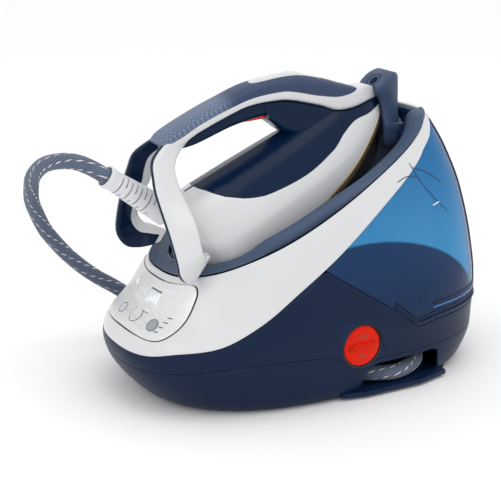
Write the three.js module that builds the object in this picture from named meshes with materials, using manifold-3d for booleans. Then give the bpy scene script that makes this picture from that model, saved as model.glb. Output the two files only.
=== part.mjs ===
// Steam generator iron: a water-tank base with a docked iron, latch, controls and steam hose.
// Millimetres, +Z up. The control panel faces -Y, the tank is at +Y, and z = 0 is the table.
// The iron is modelled in its own frame: y along the sole from heel to nose, z up from the sole.

import * as THREE from 'three';
import { mergeVertices } from 'three/addons/utils/BufferGeometryUtils.js';
import Module from 'manifold-3d';

// ---------------------------------------------------------------- driving dimensions
const baseLength = 438;
const baseWidth = 272;
const hullSides = 44;
const wall = 3;
const gap = 0.6;
const clearance = 0.4;

const ironLength = 259;
const soleWidth = 116;
const soleThickness = 7;
const ironSides = 32;
const ironWall = 2.5;
const ironTilt = THREE.MathUtils.degToRad(24);
const heelY = -110;
const heelZ = 133;

const padHeight = 2;
const rimWidth = 12;
const rimHeight = 14;
const dishThickness = 4;

const channelFront = 8;
const channelRear = 160;
const channelTop = 41;
const windowFront = 14;
const windowRear = 122;
const windowBottom = 9;
const windowTop = 35;
const hoseDiameter = 17;

const capRadius = 23;
const capY = 13;
const capZ = 63;
const capGrip = 7;
const boreRadius = 13;
const collectorLength = 64;

const hoodWidth = 178;
const hoodTop = 172;
const tankWall = 2.5;
const tankInnerRear = 168;
const fillRadius = 17;

const boilerRadius = 34;
const boilerLength = 140;
const boilerY = -58;
const boilerZ = 86;

const footRadius = 11;
const footHeight = 3;
const screwRadius = 3;

const latchWidth = 44;
const latchPivotY = 137;
const latchPivotZ = 262;
const latchPinRadius = 3;

const handleWidth = 37;
const triggerWidth = 14;

// ---------------------------------------------------------------- solids and meshes
const wasm = await Module();
wasm.setup();

function solid(geometry) {
  const bare = geometry.clone();
  bare.deleteAttribute('normal');
  bare.deleteAttribute('uv');
  const merged = mergeVertices(bare, 1e-4);
  return new wasm.Manifold(new wasm.Mesh({
    numProp: 3,
    vertProperties: new Float32Array(merged.attributes.position.array),
    triVerts: new Uint32Array(merged.index.array),
  }));
}

function geometryOf(manifold) {
  const mesh = manifold.getMesh();
  const geometry = new THREE.BufferGeometry();
  geometry.setAttribute('position', new THREE.BufferAttribute(new Float32Array(mesh.vertProperties), 3));
  geometry.setIndex(new THREE.BufferAttribute(new Uint32Array(mesh.triVerts), 1));
  geometry.computeVertexNormals();
  return geometry;
}

const finish = (color, roughness, metalness = 0) =>
  new THREE.MeshStandardMaterial({ color, roughness, metalness });
const white = finish(0xe9e9ea, 0.3);
const navy = finish(0x1f2e4d, 0.3);
const slate = finish(0x47566e, 0.5);
const black = finish(0x10131a, 0.6);
const silver = finish(0xcfd2d3, 0.35, 0.8);
const steel = finish(0xb4b7ba, 0.35, 0.9);
const bronze = finish(0x9a7a4c, 0.35, 0.9);
const orange = finish(0xe2480f, 0.35);
const red = finish(0xe0342a, 0.4);
const aqua = new THREE.MeshStandardMaterial({
  color: 0x2f86c4, roughness: 0.1, transparent: true, opacity: 0.55,
});
const brass = finish(0xb89a52, 0.4, 0.9);
const green = finish(0x2c6a3c, 0.6);
const woven = finish(0x647488, 0.9);
const rubber = finish(0x1a1c20, 0.8);

const base = new THREE.Group();
const iron = new THREE.Group();
iron.position.set(0, heelY, heelZ);
iron.rotation.x = ironTilt;

function add(group, name, shape, material) {
  const geometry = shape.isBufferGeometry ? shape : geometryOf(shape);
  const mesh = new THREE.Mesh(geometry, material);
  mesh.name = name;
  group.add(mesh);
  return mesh;
}

// ---------------------------------------------------------------- shape helpers
const sideView = new THREE.Matrix4().makeBasis(
  new THREE.Vector3(0, 1, 0), new THREE.Vector3(0, 0, 1), new THREE.Vector3(1, 0, 0));
const frontView = new THREE.Matrix4().makeBasis(
  new THREE.Vector3(1, 0, 0), new THREE.Vector3(0, 0, 1), new THREE.Vector3(0, -1, 0));

function extruded(points, depth) {
  const shape = new THREE.Shape(points.map(([a, b]) => new THREE.Vector2(a, b)));
  return new THREE.ExtrudeGeometry(shape, { depth, bevelEnabled: false });
}

// A side view of [y, z] points, run along X from x0 to x1.
const across = (points, x0 = -400, x1 = 400) =>
  solid(extruded(points, x1 - x0).applyMatrix4(sideView).translate(x0, 0, 0));

// A front view of [x, z] points, run along Y from y0 to y1.
const along = (points, y0, y1) =>
  solid(extruded(points, y1 - y0).applyMatrix4(frontView).translate(0, y1, 0));

// A plan of [x, y] points, run up from z0 to z1.
const upright = (points, z0, z1) => solid(extruded(points, z1 - z0).translate(0, 0, z0));

const box = (x0, x1, y0, y1, z0, z1) => solid(
  new THREE.BoxGeometry(x1 - x0, y1 - y0, z1 - z0)
    .translate((x0 + x1) / 2, (y0 + y1) / 2, (z0 + z1) / 2));

// A cylinder from point a to point b.
function rod(a, b, radius, sides = 20, radiusEnd = radius) {
  const from = new THREE.Vector3(...a);
  const to = new THREE.Vector3(...b);
  const length = from.distanceTo(to);
  const turn = new THREE.Quaternion().setFromUnitVectors(
    new THREE.Vector3(0, 1, 0), to.clone().sub(from).normalize());
  const geometry = new THREE.CylinderGeometry(radiusEnd, radius, length, sides);
  geometry.applyQuaternion(turn);
  const middle = from.add(to).multiplyScalar(0.5);
  return solid(geometry.translate(middle.x, middle.y, middle.z));
}

function between(table, key, column) {
  const last = table.length - 1;
  if (key <= table[0][0]) return table[0][column];
  for (let i = 0; i < last; i += 1) {
    const [low, high] = [table[i], table[i + 1]];
    if (key <= high[0]) {
      return low[column] + (high[column] - low[column]) * (key - low[0]) / (high[0] - low[0]);
    }
  }
  return table[last][column];
}

// A closed skin over stacked rings: ring(angle, level) gives the point at that angle,
// and the two ends close on the point that middle(level) gives.
function skin(sides, levels, ring, middle) {
  const geometry = new THREE.CylinderGeometry(1, 1, 1, sides, levels - 1);
  const position = geometry.attributes.position;
  for (let i = 0; i < position.count; i += 1) {
    const [x, y, z] = [position.getX(i), position.getY(i), position.getZ(i)];
    const level = Math.round((y + 0.5) * (levels - 1));
    const point = Math.hypot(x, z) < 0.5 ? middle(level) : ring(Math.atan2(x, z), level);
    position.setXYZ(i, ...point);
  }
  return solid(geometry);
}

// ---------------------------------------------------------------- base outline
// Height, then front, rear and half width as shares of half the overall length and width.
const hull = [
  [3, -0.813, 0.877, 0.897],
  [10, -0.868, 0.927, 0.938],
  [46, -0.986, 1.0, 0.978],
  [60, -1.0, 1.0, 0.988],
  [75, -0.982, 1.0, 1.0],
  [105, -0.850, 1.0, 0.963],
  [140, -0.750, 0.99, 0.882],
  [200, -0.530, 0.941, 0.728],
  [250, -0.274, 0.849, 0.581],
  [300, 0.0, 0.712, 0.412],
  [340, 0.183, 0.635, 0.294],
];
const frontPower = 2.5;
const rearPower = 2.9;

function section(z, inset) {
  const half = baseLength / 2;
  const front = between(hull, z, 1) * half + inset;
  const rear = between(hull, z, 2) * half - inset;
  return { middle: (front + rear) / 2, reach: (rear - front) / 2,
    width: between(hull, z, 3) * baseWidth / 2 - inset };
}

const power = (value, exponent) => Math.sign(value) * Math.abs(value) ** exponent;

function hullPoint(angle, z, inset) {
  const { middle, reach, width } = section(z, inset);
  const n = Math.cos(angle) > 0 ? frontPower : rearPower;
  return [width * power(Math.sin(angle), 2 / n), middle - reach * power(Math.cos(angle), 2 / n), z];
}

function hullSolid(inset, bottom) {
  const heights = [bottom, ...hull.map((row) => row[0]).filter((z) => z > bottom + 1)];
  return skin(hullSides, heights.length,
    (angle, level) => hullPoint(angle, heights[level], inset),
    (level) => [0, section(heights[level], inset).middle, heights[level]]);
}

// Half width of the hull at a station y and height z.
function halfWidthAt(y, z) {
  const { middle, reach, width } = section(z, 0);
  const n = y < middle ? frontPower : rearPower;
  return width * Math.max(0, 1 - Math.abs((y - middle) / reach) ** n) ** (1 / n);
}

const shift = (points, dz) => points.map(([y, z]) => [y, z + dz]);

// Seams of the housing in side view, as [y, z].
const partingLine = [[-260, 44], [-190, 52], [-110, 61], [-30, 58], [0, 44], [140, 44], [260, 52]];
const coverEdge = [[-260, 62], [-213, 66], [-186, 74], [-150, 81], [-107, 99], [-58, 129], [-4, 161],
  [54, 199], [121, 246], [129, 254], [145, 266], [158, 280], [170, 285], [260, 288]];
const rimEdge = [[-260, 126], [-173, 138], [-141, 147], [-102, 161], [-58, 178], [-8, 200],
  [48, 227], [111, 261], [134, 276], [146, 285], [165, 291], [260, 294]];
const tankEdge = [[-22, 146], [-5, 121], [23, 104], [55, 89], [98, 70.6], [112, 73.4], [260, 74.2]];
const tankFront = tankEdge[0][0];

const outer = hullSolid(0, footHeight);
const inner = hullSolid(wall, footHeight + wall);
const shell = outer.subtract(inner);

// ---------------------------------------------------------------- bottom tray
const floorZ = footHeight + wall;
const trayRegion = across([[-260, -10], ...shift(partingLine, -gap / 2), [260, -10]]);
const channelWalls = box(-200, 200, channelFront - wall, channelFront, floorZ - 1, channelTop)
  .add(box(-200, 200, channelRear, channelRear + wall, floorZ - 1, channelTop))
  .intersect(outer);
const channelWindow = across([
  [windowFront, windowBottom], [windowRear + 6, windowBottom], [windowRear, windowTop],
  [windowFront + 8, windowTop]]);
const lipHalf = baseWidth / 2 - 1;
const windowLip = upright([
  [-lipHalf + 6, windowFront - 22], [lipHalf - 6, windowFront - 22], [lipHalf, windowFront + 6],
  [lipHalf, windowRear - 30], [lipHalf - 10, windowRear + 12], [-lipHalf + 10, windowRear + 12],
  [-lipHalf, windowRear - 30], [-lipHalf, windowFront + 6]], footHeight, windowBottom);
const glandX = 92;
const glandY = 17;
const glandRadius = hoseDiameter / 2 + 1;
const glandZ = floorZ + glandRadius + 1;
const glandTurn = [0.62, 0.785];
const glandEnd = [glandX, glandY, glandZ];
const glandStart = [glandX - 20 * glandTurn[0], glandY - 20 * glandTurn[1], glandZ];
const glandHole = rod([glandX - 30 * glandTurn[0], glandY - 30 * glandTurn[1], glandZ], glandEnd,
  glandRadius + clearance, 20);
const screwSpots = [[-58, -128], [58, -128], [-64, 174], [64, 174]];
const footSpots = [[-74, -104], [74, -104], [-94, 140], [94, 140]];
const screwBores = screwSpots.map(([x, y]) => rod([x, y, -1], [x, y, floorZ + 1], screwRadius + clearance, 12))
  .reduce((all, next) => all.add(next));

const capFace = baseWidth / 2;
const capRecess = rod([capFace - 9, capY, capZ], [capFace + 40, capY, capZ], capRadius + 2, 32);
const tray = shell.intersect(trayRegion).add(channelWalls).add(windowLip.subtract(inner))
  .subtract(channelWindow).subtract(glandHole).subtract(screwBores).subtract(capRecess);
add(base, 'bottom_tray', tray, navy);

footSpots.forEach(([x, y], index) => {
  const foot = rod([x, y, 0], [x, y, footHeight - clearance], footRadius, 20);
  add(base, `rubber_foot_${index + 1}`, foot, rubber);
});
screwSpots.forEach(([x, y], index) => {
  const screw = rod([x, y, footHeight + clearance], [x, y, floorZ + 14], screwRadius, 12);
  add(base, `tray_screw_${index + 1}`, screw, steel);
});

const cavity = hullSolid(wall + 1, floorZ + 1);
const channelCover = box(-200, 200, channelFront - wall, channelRear + wall, channelTop + clearance,
  channelTop + clearance + 2).intersect(cavity).subtract(capRecess);
add(base, 'channel_cover', channelCover, black);

// The gland where the hose leaves the base, aimed out through the near window.
add(base, 'hose_gland', rod(glandStart, glandEnd, glandRadius, 20), black);

// ---------------------------------------------------------------- lower body
const bodyRegion = across([
  ...shift(partingLine, gap / 2),
  ...shift(tankEdge, -gap / 2).reverse(),
  ...shift(coverEdge.filter(([y]) => y < tankFront), -gap / 2).reverse(),
]);
const collectorBore = rod([capFace - 90, capY, capZ], [capFace + 40, capY, capZ],
  boreRadius + 2 + clearance, 24);
const capCup = rod([capFace - 12, capY, capZ], [capFace + 10, capY, capZ], capRadius + 4, 32)
  .intersect(hullSolid(1, footHeight)).intersect(bodyRegion);
const mainsHole = rod([-40, baseLength / 2 - 20, 60], [-40, baseLength / 2 + 9, 60], 8 + clearance, 20);
const lowerBody = shell.intersect(bodyRegion).add(capCup)
  .subtract(capRecess).subtract(collectorBore).subtract(mainsHole);
add(base, 'lower_body', lowerBody, navy);
const mainsGland = rod([-40, baseLength / 2 - 12, 60], [-40, baseLength / 2 + 0, 60], 8, 20)
  .subtract(rod([-40, baseLength / 2 - 14, 60], [-40, baseLength / 2 + 9, 60], 4, 16));
add(base, 'mains_gland', mainsGland, black);

// ---------------------------------------------------------------- upper cover and controls
const coverRegion = across([
  ...shift(coverEdge, gap / 2), ...shift(rimEdge, -gap / 2).reverse()]);
const panelHalf = 76;
const panelLow = 84;
const panelHigh = 134;
const panelOutline = (inset) => along([
  [-panelHalf + 18 + inset, panelLow + inset], [panelHalf - 18 - inset, panelLow + inset],
  [panelHalf - inset, panelLow + 10], [panelHalf - 6 - inset, panelHigh - 8],
  [panelHalf - 22, panelHigh - inset], [-panelHalf + 22, panelHigh - inset],
  [-panelHalf + 6 + inset, panelHigh - 8], [-panelHalf + inset, panelLow + 10]], -baseLength, -110);
const coverShell = shell.intersect(coverRegion);
add(base, 'upper_cover', coverShell.subtract(panelOutline(0)), white);

// Three buttons and a display stand in the panel's slope.
const slopeAt = (z) => section(z, 0).middle - section(z, 0).reach;
function panelSpot(x, z) {
  const low = slopeAt(z - 4);
  const high = slopeAt(z + 4);
  const slope = new THREE.Vector3(0, -8, high - low).normalize();
  const n = frontPower;
  const { middle, reach, width } = section(z, 0);
  const y = middle - reach * (1 - Math.abs(x / width) ** n) ** (1 / n);
  return { at: new THREE.Vector3(x, y, z), out: slope };
}
const buttons = [
  ['power_button', -25, 94, 5.5], ['steam_level_button', 7, 96, 9], ['eco_button', 42, 94, 6]];
const buttonSpots = buttons.map(([name, x, z, radius]) => ({ name, radius, ...panelSpot(x, z) }));
const reachOut = ({ at, out }, distance) => at.clone().addScaledVector(out, distance).toArray();
let panel = coverShell.intersect(panelOutline(clearance));
buttonSpots.forEach((spot) => {
  panel = panel.subtract(rod(reachOut(spot, -14), reachOut(spot, 14), spot.radius + clearance, 24));
});
const displayCentre = panelSpot(4, 120);
const displayCut = along([[-16, 113], [22, 113], [22, 128], [-16, 128]], -baseLength, -110);
add(base, 'control_panel', panel.subtract(displayCut), silver);
add(base, 'display_window', shell.intersect(coverRegion).intersect(
  along([[-15.6, 113.4], [21.6, 113.4], [21.6, 127.6], [-15.6, 127.6]], -baseLength, -110)), silver);
buttonSpots.forEach((spot) => {
  const low = reachOut(spot, -wall - 2);
  const button = rod(low, reachOut(spot, 1.2), spot.radius, 24);
  add(base, spot.name, button, silver);
});
const boardBack = reachOut(displayCentre, -wall - 13);
const board = new THREE.BoxGeometry(96, 1.6, 40).rotateX(-0.67)
  .translate(0, boardBack[1], boardBack[2] - 8);
add(base, 'control_board', solid(board), green);

// ---------------------------------------------------------------- iron rest
const tilt = Math.tan(ironTilt);
const sole = (y) => heelZ + (y - heelY) * tilt - padHeight - 2 * clearance;
const restFront = -165;
const restRear = 160;
const restMiddle = (restFront + restRear) / 2;
const restReach = (restRear - restFront) / 2;
const restHalf = 98;
const rimAt = (y) => between(rimEdge, y, 1);
const crestAt = (y) => between([[-150, 0], [-108, 0], [-72, rimHeight], [105, rimHeight], [140, 4]], y, 1);
const lipInset = 7.6;
// Inset from the hull, height followed, share of the crest, extra rise.
const restRings = [
  [26, sole, 0, -dishThickness], [lipInset, rimAt, 0, -8], [lipInset, rimAt, 0, gap + 0.3],
  [1, rimAt, 0, gap + 0.3], [rimWidth * 0.45, rimAt, 0.7, gap], [rimWidth, rimAt, 1, gap],
  [rimWidth + 5, rimAt, 0.9, gap], [26, sole, 0, 0]];
function restPoint(angle, level) {
  const [inset, follow, crest, rise] = restRings[level];
  const onEdge = restMiddle - restReach * power(Math.cos(angle), 0.8);
  const y = restMiddle + (onEdge - restMiddle) * (1 - inset / restReach);
  const side = Math.sign(Math.round(Math.sin(angle) * 1e6));
  const x = side * halfWidthAt(onEdge, rimAt(onEdge)) * (1 - inset / restHalf);
  return [x, y, follow(y) + crest * crestAt(y) + rise];
}
const restSolid = skin(hullSides, restRings.length, restPoint,
  (level) => [0, restMiddle, sole(restMiddle) + (level ? 0 : -dishThickness)]);
const latchHalf = latchWidth / 2;
const pinBore = rod([-100, latchPivotY, latchPivotZ], [100, latchPivotY, latchPivotZ],
  latchPinRadius + 0.3, 20);
const latchSlot = across([[118, 251], [146, 251], [147, 264], [190, 282], [190, 400], [118, 400]],
  -latchHalf - 1.4, latchHalf + 1.4);
const latchEars = across([[128, 236], [140, 241], [150, 247], [150, 268], [128, 268]],
  -latchHalf - 9, latchHalf + 9);
add(base, 'iron_rest', restSolid.add(latchEars).subtract(latchSlot).subtract(pinBore), slate);

// The apron fills the dish in front of the sole, between the heel legs; pads carry the sole.
const apronHalf = 30;
const apronSide = [[-126, 126], [-115, 131], [-116, 138.5], [-127, 147], [-133, 151.5], [-138, 150],
  [-138, 147]];
add(base, 'rest_apron', across(apronSide, -apronHalf, apronHalf), slate);

const dock = new THREE.Group();
dock.position.copy(iron.position);
dock.rotation.copy(iron.rotation);
base.add(dock);
const padLow = -padHeight - clearance;
const padHigh = -clearance;
[-1, 1].forEach((side) => {
  const pad = box(side * 34 - 5, side * 34 + 5, 30, 168, padLow, padHigh);
  add(dock, side < 0 ? 'rest_pad_left' : 'rest_pad_right', pad, black);
});
add(dock, 'heel_pad', box(-40, 40, 4, 24, padLow, padHigh), black);

// ---------------------------------------------------------------- latch
const cheek = 3.5;
const latchSide = [[112, 251], [112, 292], [107, 302], [102, 310], [103, 316], [121, 331], [127, 333],
  [131, 329], [131, 320], [136, 306], [137, 285], [138, 274], [144, 268], [145, 258], [140, 254],
  [128, 253]];
const latchPlan = upright([[-latchHalf, 90], [latchHalf, 90], [latchHalf, 119], [13, 137], [-13, 137],
  [-latchHalf, 119]], 272, 400).add(box(-latchHalf, latchHalf, 90, 180, 200, 273));
const noseHalf = latchHalf - cheek;
const noseChannel = upright([[-noseHalf, 60], [noseHalf, 60], [noseHalf, 117], [11, 130], [-11, 130],
  [-noseHalf, 117]], 200, 302);
const nosePocket = across([[60, 296], [123, 296], [123, 308], [113, 316], [104, 324], [60, 350]], -13, 13);
const latch = across(latchSide, -latchHalf, latchHalf).intersect(latchPlan)
  .subtract(noseChannel).subtract(nosePocket).subtract(pinBore);
add(base, 'latch_lever', latch, slate);
const pinHalf = latchHalf + 8;
add(base, 'latch_pin', rod([-pinHalf, latchPivotY, latchPivotZ], [pinHalf, latchPivotY, latchPivotZ],
  latchPinRadius, 20), steel);

// ---------------------------------------------------------------- water tank
const hoodRear = 150;
const hoodSide = [[tankFront - 6, 60], [tankFront - 6, 143], [20, hoodTop - 2], [50, hoodTop],
  [100, hoodTop - 12], [132, 128], [hoodRear, 80], [hoodRear, 60]];
const hoodHalf = hoodWidth / 2;
const hoodFront = [[-hoodHalf, 50], [hoodHalf, 50], [hoodHalf, hoodTop - 44], [hoodHalf - 16, hoodTop - 14],
  [hoodHalf - 44, hoodTop], [-hoodHalf + 44, hoodTop], [-hoodHalf + 16, hoodTop - 14],
  [-hoodHalf, hoodTop - 44]];
const grow = (points, by) => points.map(([x, z]) => [x + Math.sign(x) * by, z + (z > 60 ? by : -by)]);
const hoodOuter = across(hoodSide).intersect(along(hoodFront, -60, 200));
const hoodInner = across(hoodSide.map(([y, z]) => [y > 100 ? y - wall : y - 10, z > 100 ? z - wall : z - 10]))
  .intersect(along(grow(hoodFront, -wall), -60, 200));
const hood = hoodOuter.subtract(hoodInner)
  .subtract(collectorBore).intersect(cavity);
add(base, 'boiler_hood', hood, navy);

const tankRegion = (inset) => across([
  ...tankEdge.map(([y, z]) => [y + inset * 1.6, z + gap / 2 + inset]),
  ...coverEdge.filter(([y]) => y > tankFront).reverse().map(([y, z]) => [y + inset, z - gap / 2 - inset]),
]);
const tunnel = (inset) => along(grow(hoodFront, clearance + 1 + inset).map(([x, z]) => [x, z > 60 ? z : 0]),
  -200, tankInnerRear + inset);
const underRest = (inset) => across([
  [-60, sole(-60) - dishThickness - 3 - inset], [restRear, sole(restRear) - dishThickness - 3 - inset],
  [restRear, 400], [-60, 400]]).intersect(hullSolid(7 - inset, footHeight));
const fillAxis = [0, Math.cos(0.5), Math.sin(0.5)];
const fillCentre = [0, 204, 196];
const onFill = (distance) => fillCentre.map((value, k) => value + fillAxis[k] * distance);
const fillHole = rod(onFill(-24), onFill(30), fillRadius, 28);
const valveY = 192;
const valveHole = rod([0, valveY, 60], [0, valveY, 90], 8, 20);
const handleZone = box(-34, 34, 150, 260, 222, 300);
const handleBar = outer.intersect(handleZone).subtract(hullSolid(7, footHeight));
const tankSolid = outer.intersect(tankRegion(0)).subtract(tunnel(0)).subtract(underRest(0));
const tankHollow = hullSolid(tankWall, footHeight).intersect(tankRegion(tankWall))
  .subtract(tunnel(tankWall)).subtract(underRest(tankWall))
  .subtract(box(-34 - tankWall, 34 + tankWall, 150, 260, 222 - tankWall, 300).subtract(hullSolid(10, footHeight)));
const handleSeat = box(-34 - clearance, 34 + clearance, 150, 260, 222 - clearance, 300)
  .subtract(hullSolid(7 + clearance, footHeight));
add(base, 'water_tank', tankSolid.subtract(tankHollow).subtract(fillHole).subtract(valveHole)
  .subtract(handleSeat), aqua);
add(base, 'tank_handle', handleBar.intersect(tankRegion(0)), navy);
add(base, 'tank_lid', rod(onFill(-4), onFill(7), fillRadius - clearance, 28), navy);
const deckTop = tankEdge[tankEdge.length - 1][1] - 2;
add(base, 'tank_valve', rod([0, valveY, deckTop + clearance], [0, valveY, 90], 8 - clearance, 20), white);
add(base, 'tank_deck', box(-200, 200, hoodRear + 3, 260, deckTop - 3, deckTop)
  .intersect(cavity).subtract(rod([0, valveY, 0], [0, valveY, 100], 9, 20)), black);

// ---------------------------------------------------------------- steam works
const boilerHalf = boilerLength / 2;
add(base, 'boiler', rod([-boilerHalf, boilerY, boilerZ], [boilerHalf, boilerY, boilerZ], boilerRadius, 28),
  steel);
const cradle = box(-boilerHalf + 14, boilerHalf - 14, boilerY - 26, boilerY + 26, floorZ + clearance, boilerZ - 8)
  .subtract(rod([-200, boilerY, boilerZ], [200, boilerY, boilerZ], boilerRadius + clearance, 28))
  .subtract(box(-boilerHalf + 20, boilerHalf - 20, -200, 200, floorZ + 6, boilerZ - boilerRadius - 6));
add(base, 'boiler_cradle', cradle, black);
add(base, 'heater_plate', rod([-boilerHalf - 7, boilerY, boilerZ], [-boilerHalf - clearance, boilerY, boilerZ],
  boilerRadius - 6, 24), steel);
const boilerTop = boilerZ + boilerRadius;
add(base, 'thermostat', rod([-30, boilerY, boilerTop + clearance], [-30, boilerY, boilerTop + 8], 9, 16), black);
add(base, 'steam_valve', rod([30, boilerY, boilerTop + clearance], [30, boilerY, boilerTop + 19], 10, 16), brass);
add(base, 'water_pump', box(-80, -44, 22, 84, channelTop + 4, channelTop + 40), black);

function tube(points, radius, sides, steps) {
  const curve = new THREE.CatmullRomCurve3(points.map((point) => new THREE.Vector3(...point)));
  const round = new THREE.Shape();
  for (let k = 0; k < sides; k += 1) {
    const angle = 2 * Math.PI * k / sides;
    const [x, y] = [radius * Math.cos(angle), radius * Math.sin(angle)];
    if (k) round.lineTo(x, y);
    else round.moveTo(x, y);
  }
  return new THREE.ExtrudeGeometry(round, { steps, extrudePath: curve, curveSegments: 1 });
}
const pipeEnd = [glandX - 25 * glandTurn[0], glandY - 25 * glandTurn[1], glandZ];
add(base, 'steam_pipe', tube([[41, boilerY, boilerTop + 12], [60, boilerY, boilerTop + 12],
  [88, boilerY + 8, boilerTop], [100, boilerY + 26, 90], [94, boilerY + 36, 50], [80, -16, 26], pipeEnd],
4, 8, 24), steel);
add(base, 'water_pipe', tube([[0, valveY, deckTop - 8], [0, valveY - 12, 56], [-24, 150, 54],
  [-56, 118, 58], [-62, 98, 60], [-62, 85, 60]], 4, 8, 16), white);

// ---------------------------------------------------------------- calc collector
const sleeveEnd = capFace - 9.4;
const sleeve = rod([sleeveEnd - collectorLength - 14, capY, capZ], [sleeveEnd, capY, capZ], boreRadius + 2, 24)
  .subtract(rod([sleeveEnd - collectorLength - 8, capY, capZ], [sleeveEnd + 9, capY, capZ], boreRadius, 24));
add(base, 'collector_housing', sleeve, black);
add(base, 'collector_rod', rod([sleeveEnd - collectorLength, capY, capZ], [sleeveEnd - 10, capY, capZ], 6, 16),
  steel);
const capDisc = capFace - 6.6;
const capShape = rod([sleeveEnd - 9.6, capY, capZ], [capDisc + 1, capY, capZ], boreRadius - clearance, 24)
  .add(rod([capDisc, capY, capZ], [capDisc + 3.4, capY, capZ], capRadius, 32))
  .add(box(capDisc + 3, capFace - 0.4, capY - capRadius + 1, capY + capRadius - 1,
    capZ - capGrip / 2, capZ + capGrip / 2));
add(base, 'calc_cap', capShape, orange);
const seal = rod([capFace - 8.7, capY, capZ], [capDisc - clearance, capY, capZ], capRadius - 2, 32)
  .subtract(rod([0, capY, capZ], [200, capY, capZ], boreRadius + 2.6, 24));
add(base, 'cap_seal', seal, rubber);

// ---------------------------------------------------------------- iron
// Height, rear, front and half width of the iron's body.
const ironHull = [
  [0, 3, ironLength - 1, soleWidth / 2 - 1],
  [soleThickness, 0, ironLength + 1, soleWidth / 2],
  [36, -5, ironLength + 9, soleWidth / 2 - 2.5],
  [52, -8, ironLength + 14, soleWidth / 2 - 8],
  [69, -9, ironLength + 16.5, soleWidth / 2 - 17],
  [90, -6, ironLength + 2, soleWidth / 2 - 29],
  [101, 2, ironLength - 14, soleWidth / 2 - 37],
];
const heelReach = 60;
function ironPoint(angle, z, inset) {
  const rear = between(ironHull, z, 1) + inset;
  const front = between(ironHull, z, 2) - inset * 1.6;
  const half = between(ironHull, z, 3) - inset;
  const c = Math.cos(angle);
  const s = Math.sin(angle);
  if (c > 0) {
    return [half * power(s, 0.4), heelReach - (heelReach - rear) * power(c, 0.4), z];
  }
  const along = Math.abs(c);
  const x = half * Math.sign(Math.round(s * 1e6)) * Math.max(0, 1 - along ** 2) ** 0.62;
  return [x, heelReach + (front - heelReach) * along, z];
}
const ironSolid = (inset, low, high) => {
  const heights = [low, ...ironHull.map((row) => row[0]).filter((z) => z > low + 0.5 && z < high - 0.5), high];
  return skin(ironSides, heights.length, (angle, level) => ironPoint(angle, heights[level], inset),
    (level) => [0, heelReach, heights[level]]);
};
const bodyTop = 101;
const bodyEdge = [[-40, 99], [18, 97], [31, 88], [54, 70], [89, 57], [141, 52], [183, 56], [205, 63],
  [224, 66], [250, 61], [300, 57]];
const skirtLow = soleThickness + clearance;
const ironOuter = ironSolid(0, skirtLow, bodyTop);
const ironInner = ironSolid(ironWall, skirtLow - 3, bodyTop - ironWall);
add(iron, 'soleplate', ironSolid(0, 0, soleThickness), bronze);
add(iron, 'steam_chamber', ironSolid(6, skirtLow, 26), steel);
const skirtEdge = shift(bodyEdge, -gap / 2).reverse();
const skirtRegion = across([[-60, 0], [300, 0], ...skirtEdge]);
const skirtHollow = across([[-60, 0], [300, 0], ...shift(skirtEdge, wall).filter(([y]) => y > 40), [36, 90],
  [26, 87], [14, 93.5], [-60, 95]]);
const skirt = ironOuter.intersect(skirtRegion).subtract(ironInner.intersect(skirtHollow));
add(iron, 'skirt', skirt, white);

const windowTopEdge = [[36, 138], [49, 135.5], [87, 132], [117, 126], [142, 119], [146, 107], [136, 99]];
const bandLow = [[25, 144], [52, 147], [104, 145], [151, 131], [194, 101], [215, 82], [228, 76],
  [243, 72], [260, 69.5], [277, 66]];
const bandTop = [[6, 158], [30, 156.5], [57, 158], [109, 155], [157, 142], [200, 113], [223, 99],
  [236, 95], [248, 93], [258, 90.5]];
const handleTop = [[16, 163], [45, 164.5], [71, 164.5], [96, 163.5], [123, 162], [150, 156], [183, 144],
  [217, 120], [241, 99.5], [252, 93.8]];
const handleHalf = handleWidth / 2;
const nosePlan = upright([[-handleHalf, -60], [handleHalf, -60], [handleHalf, 190], [handleHalf - 4, 236],
  [8, 266], [3, 276], [-3, 276], [-8, 266], [-handleHalf + 4, 236], [-handleHalf, 190]], 0, 300);
const noseEdge = bandLow.filter(([y]) => y > 160).reverse();
const bodyZone = across([...shift(bodyEdge, gap / 2).slice(1), ...shift(noseEdge, -gap / 2), [165, 140],
  [18, 140]]);
const bodyHollow = across([[18, 40], [300, 40], ...shift(noseEdge, -gap / 2 - ironWall), [165, 140],
  [20, 140]]);
const pillar = across([...windowTopEdge, [150, 62], [224, 68], [262, 64], [276, 62],
  ...shift(bandLow, -gap / 2).reverse()]).intersect(nosePlan);
const triggerSide = [[106, 134], [108, 127], [140, 116.5], [142, 121], [136, 127], [112, 138]];
const triggerPocket = [[104, 141], [105, 126], [141, 113], [144.5, 121], [137, 130], [112, 141]];
const pivot = [136.5, 121.5];
const bodyShell = ironOuter.intersect(bodyZone).subtract(ironInner.intersect(bodyHollow)).add(pillar)
  .subtract(across(triggerPocket, -triggerWidth / 2 - 0.8, triggerWidth / 2 + 0.8))
  .subtract(rod([-50, ...pivot], [50, ...pivot], 1.5 + 0.2, 12));
add(iron, 'body_shell', bodyShell, navy);
const trigger = across(triggerSide, -triggerWidth / 2, triggerWidth / 2)
  .subtract(rod([-50, ...pivot], [50, ...pivot], 1.5 + 0.2, 12));
add(iron, 'steam_trigger', trigger, red);
add(iron, 'trigger_pin', rod([-handleHalf + 4, ...pivot], [handleHalf - 4, ...pivot], 1.5, 12), steel);

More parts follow.
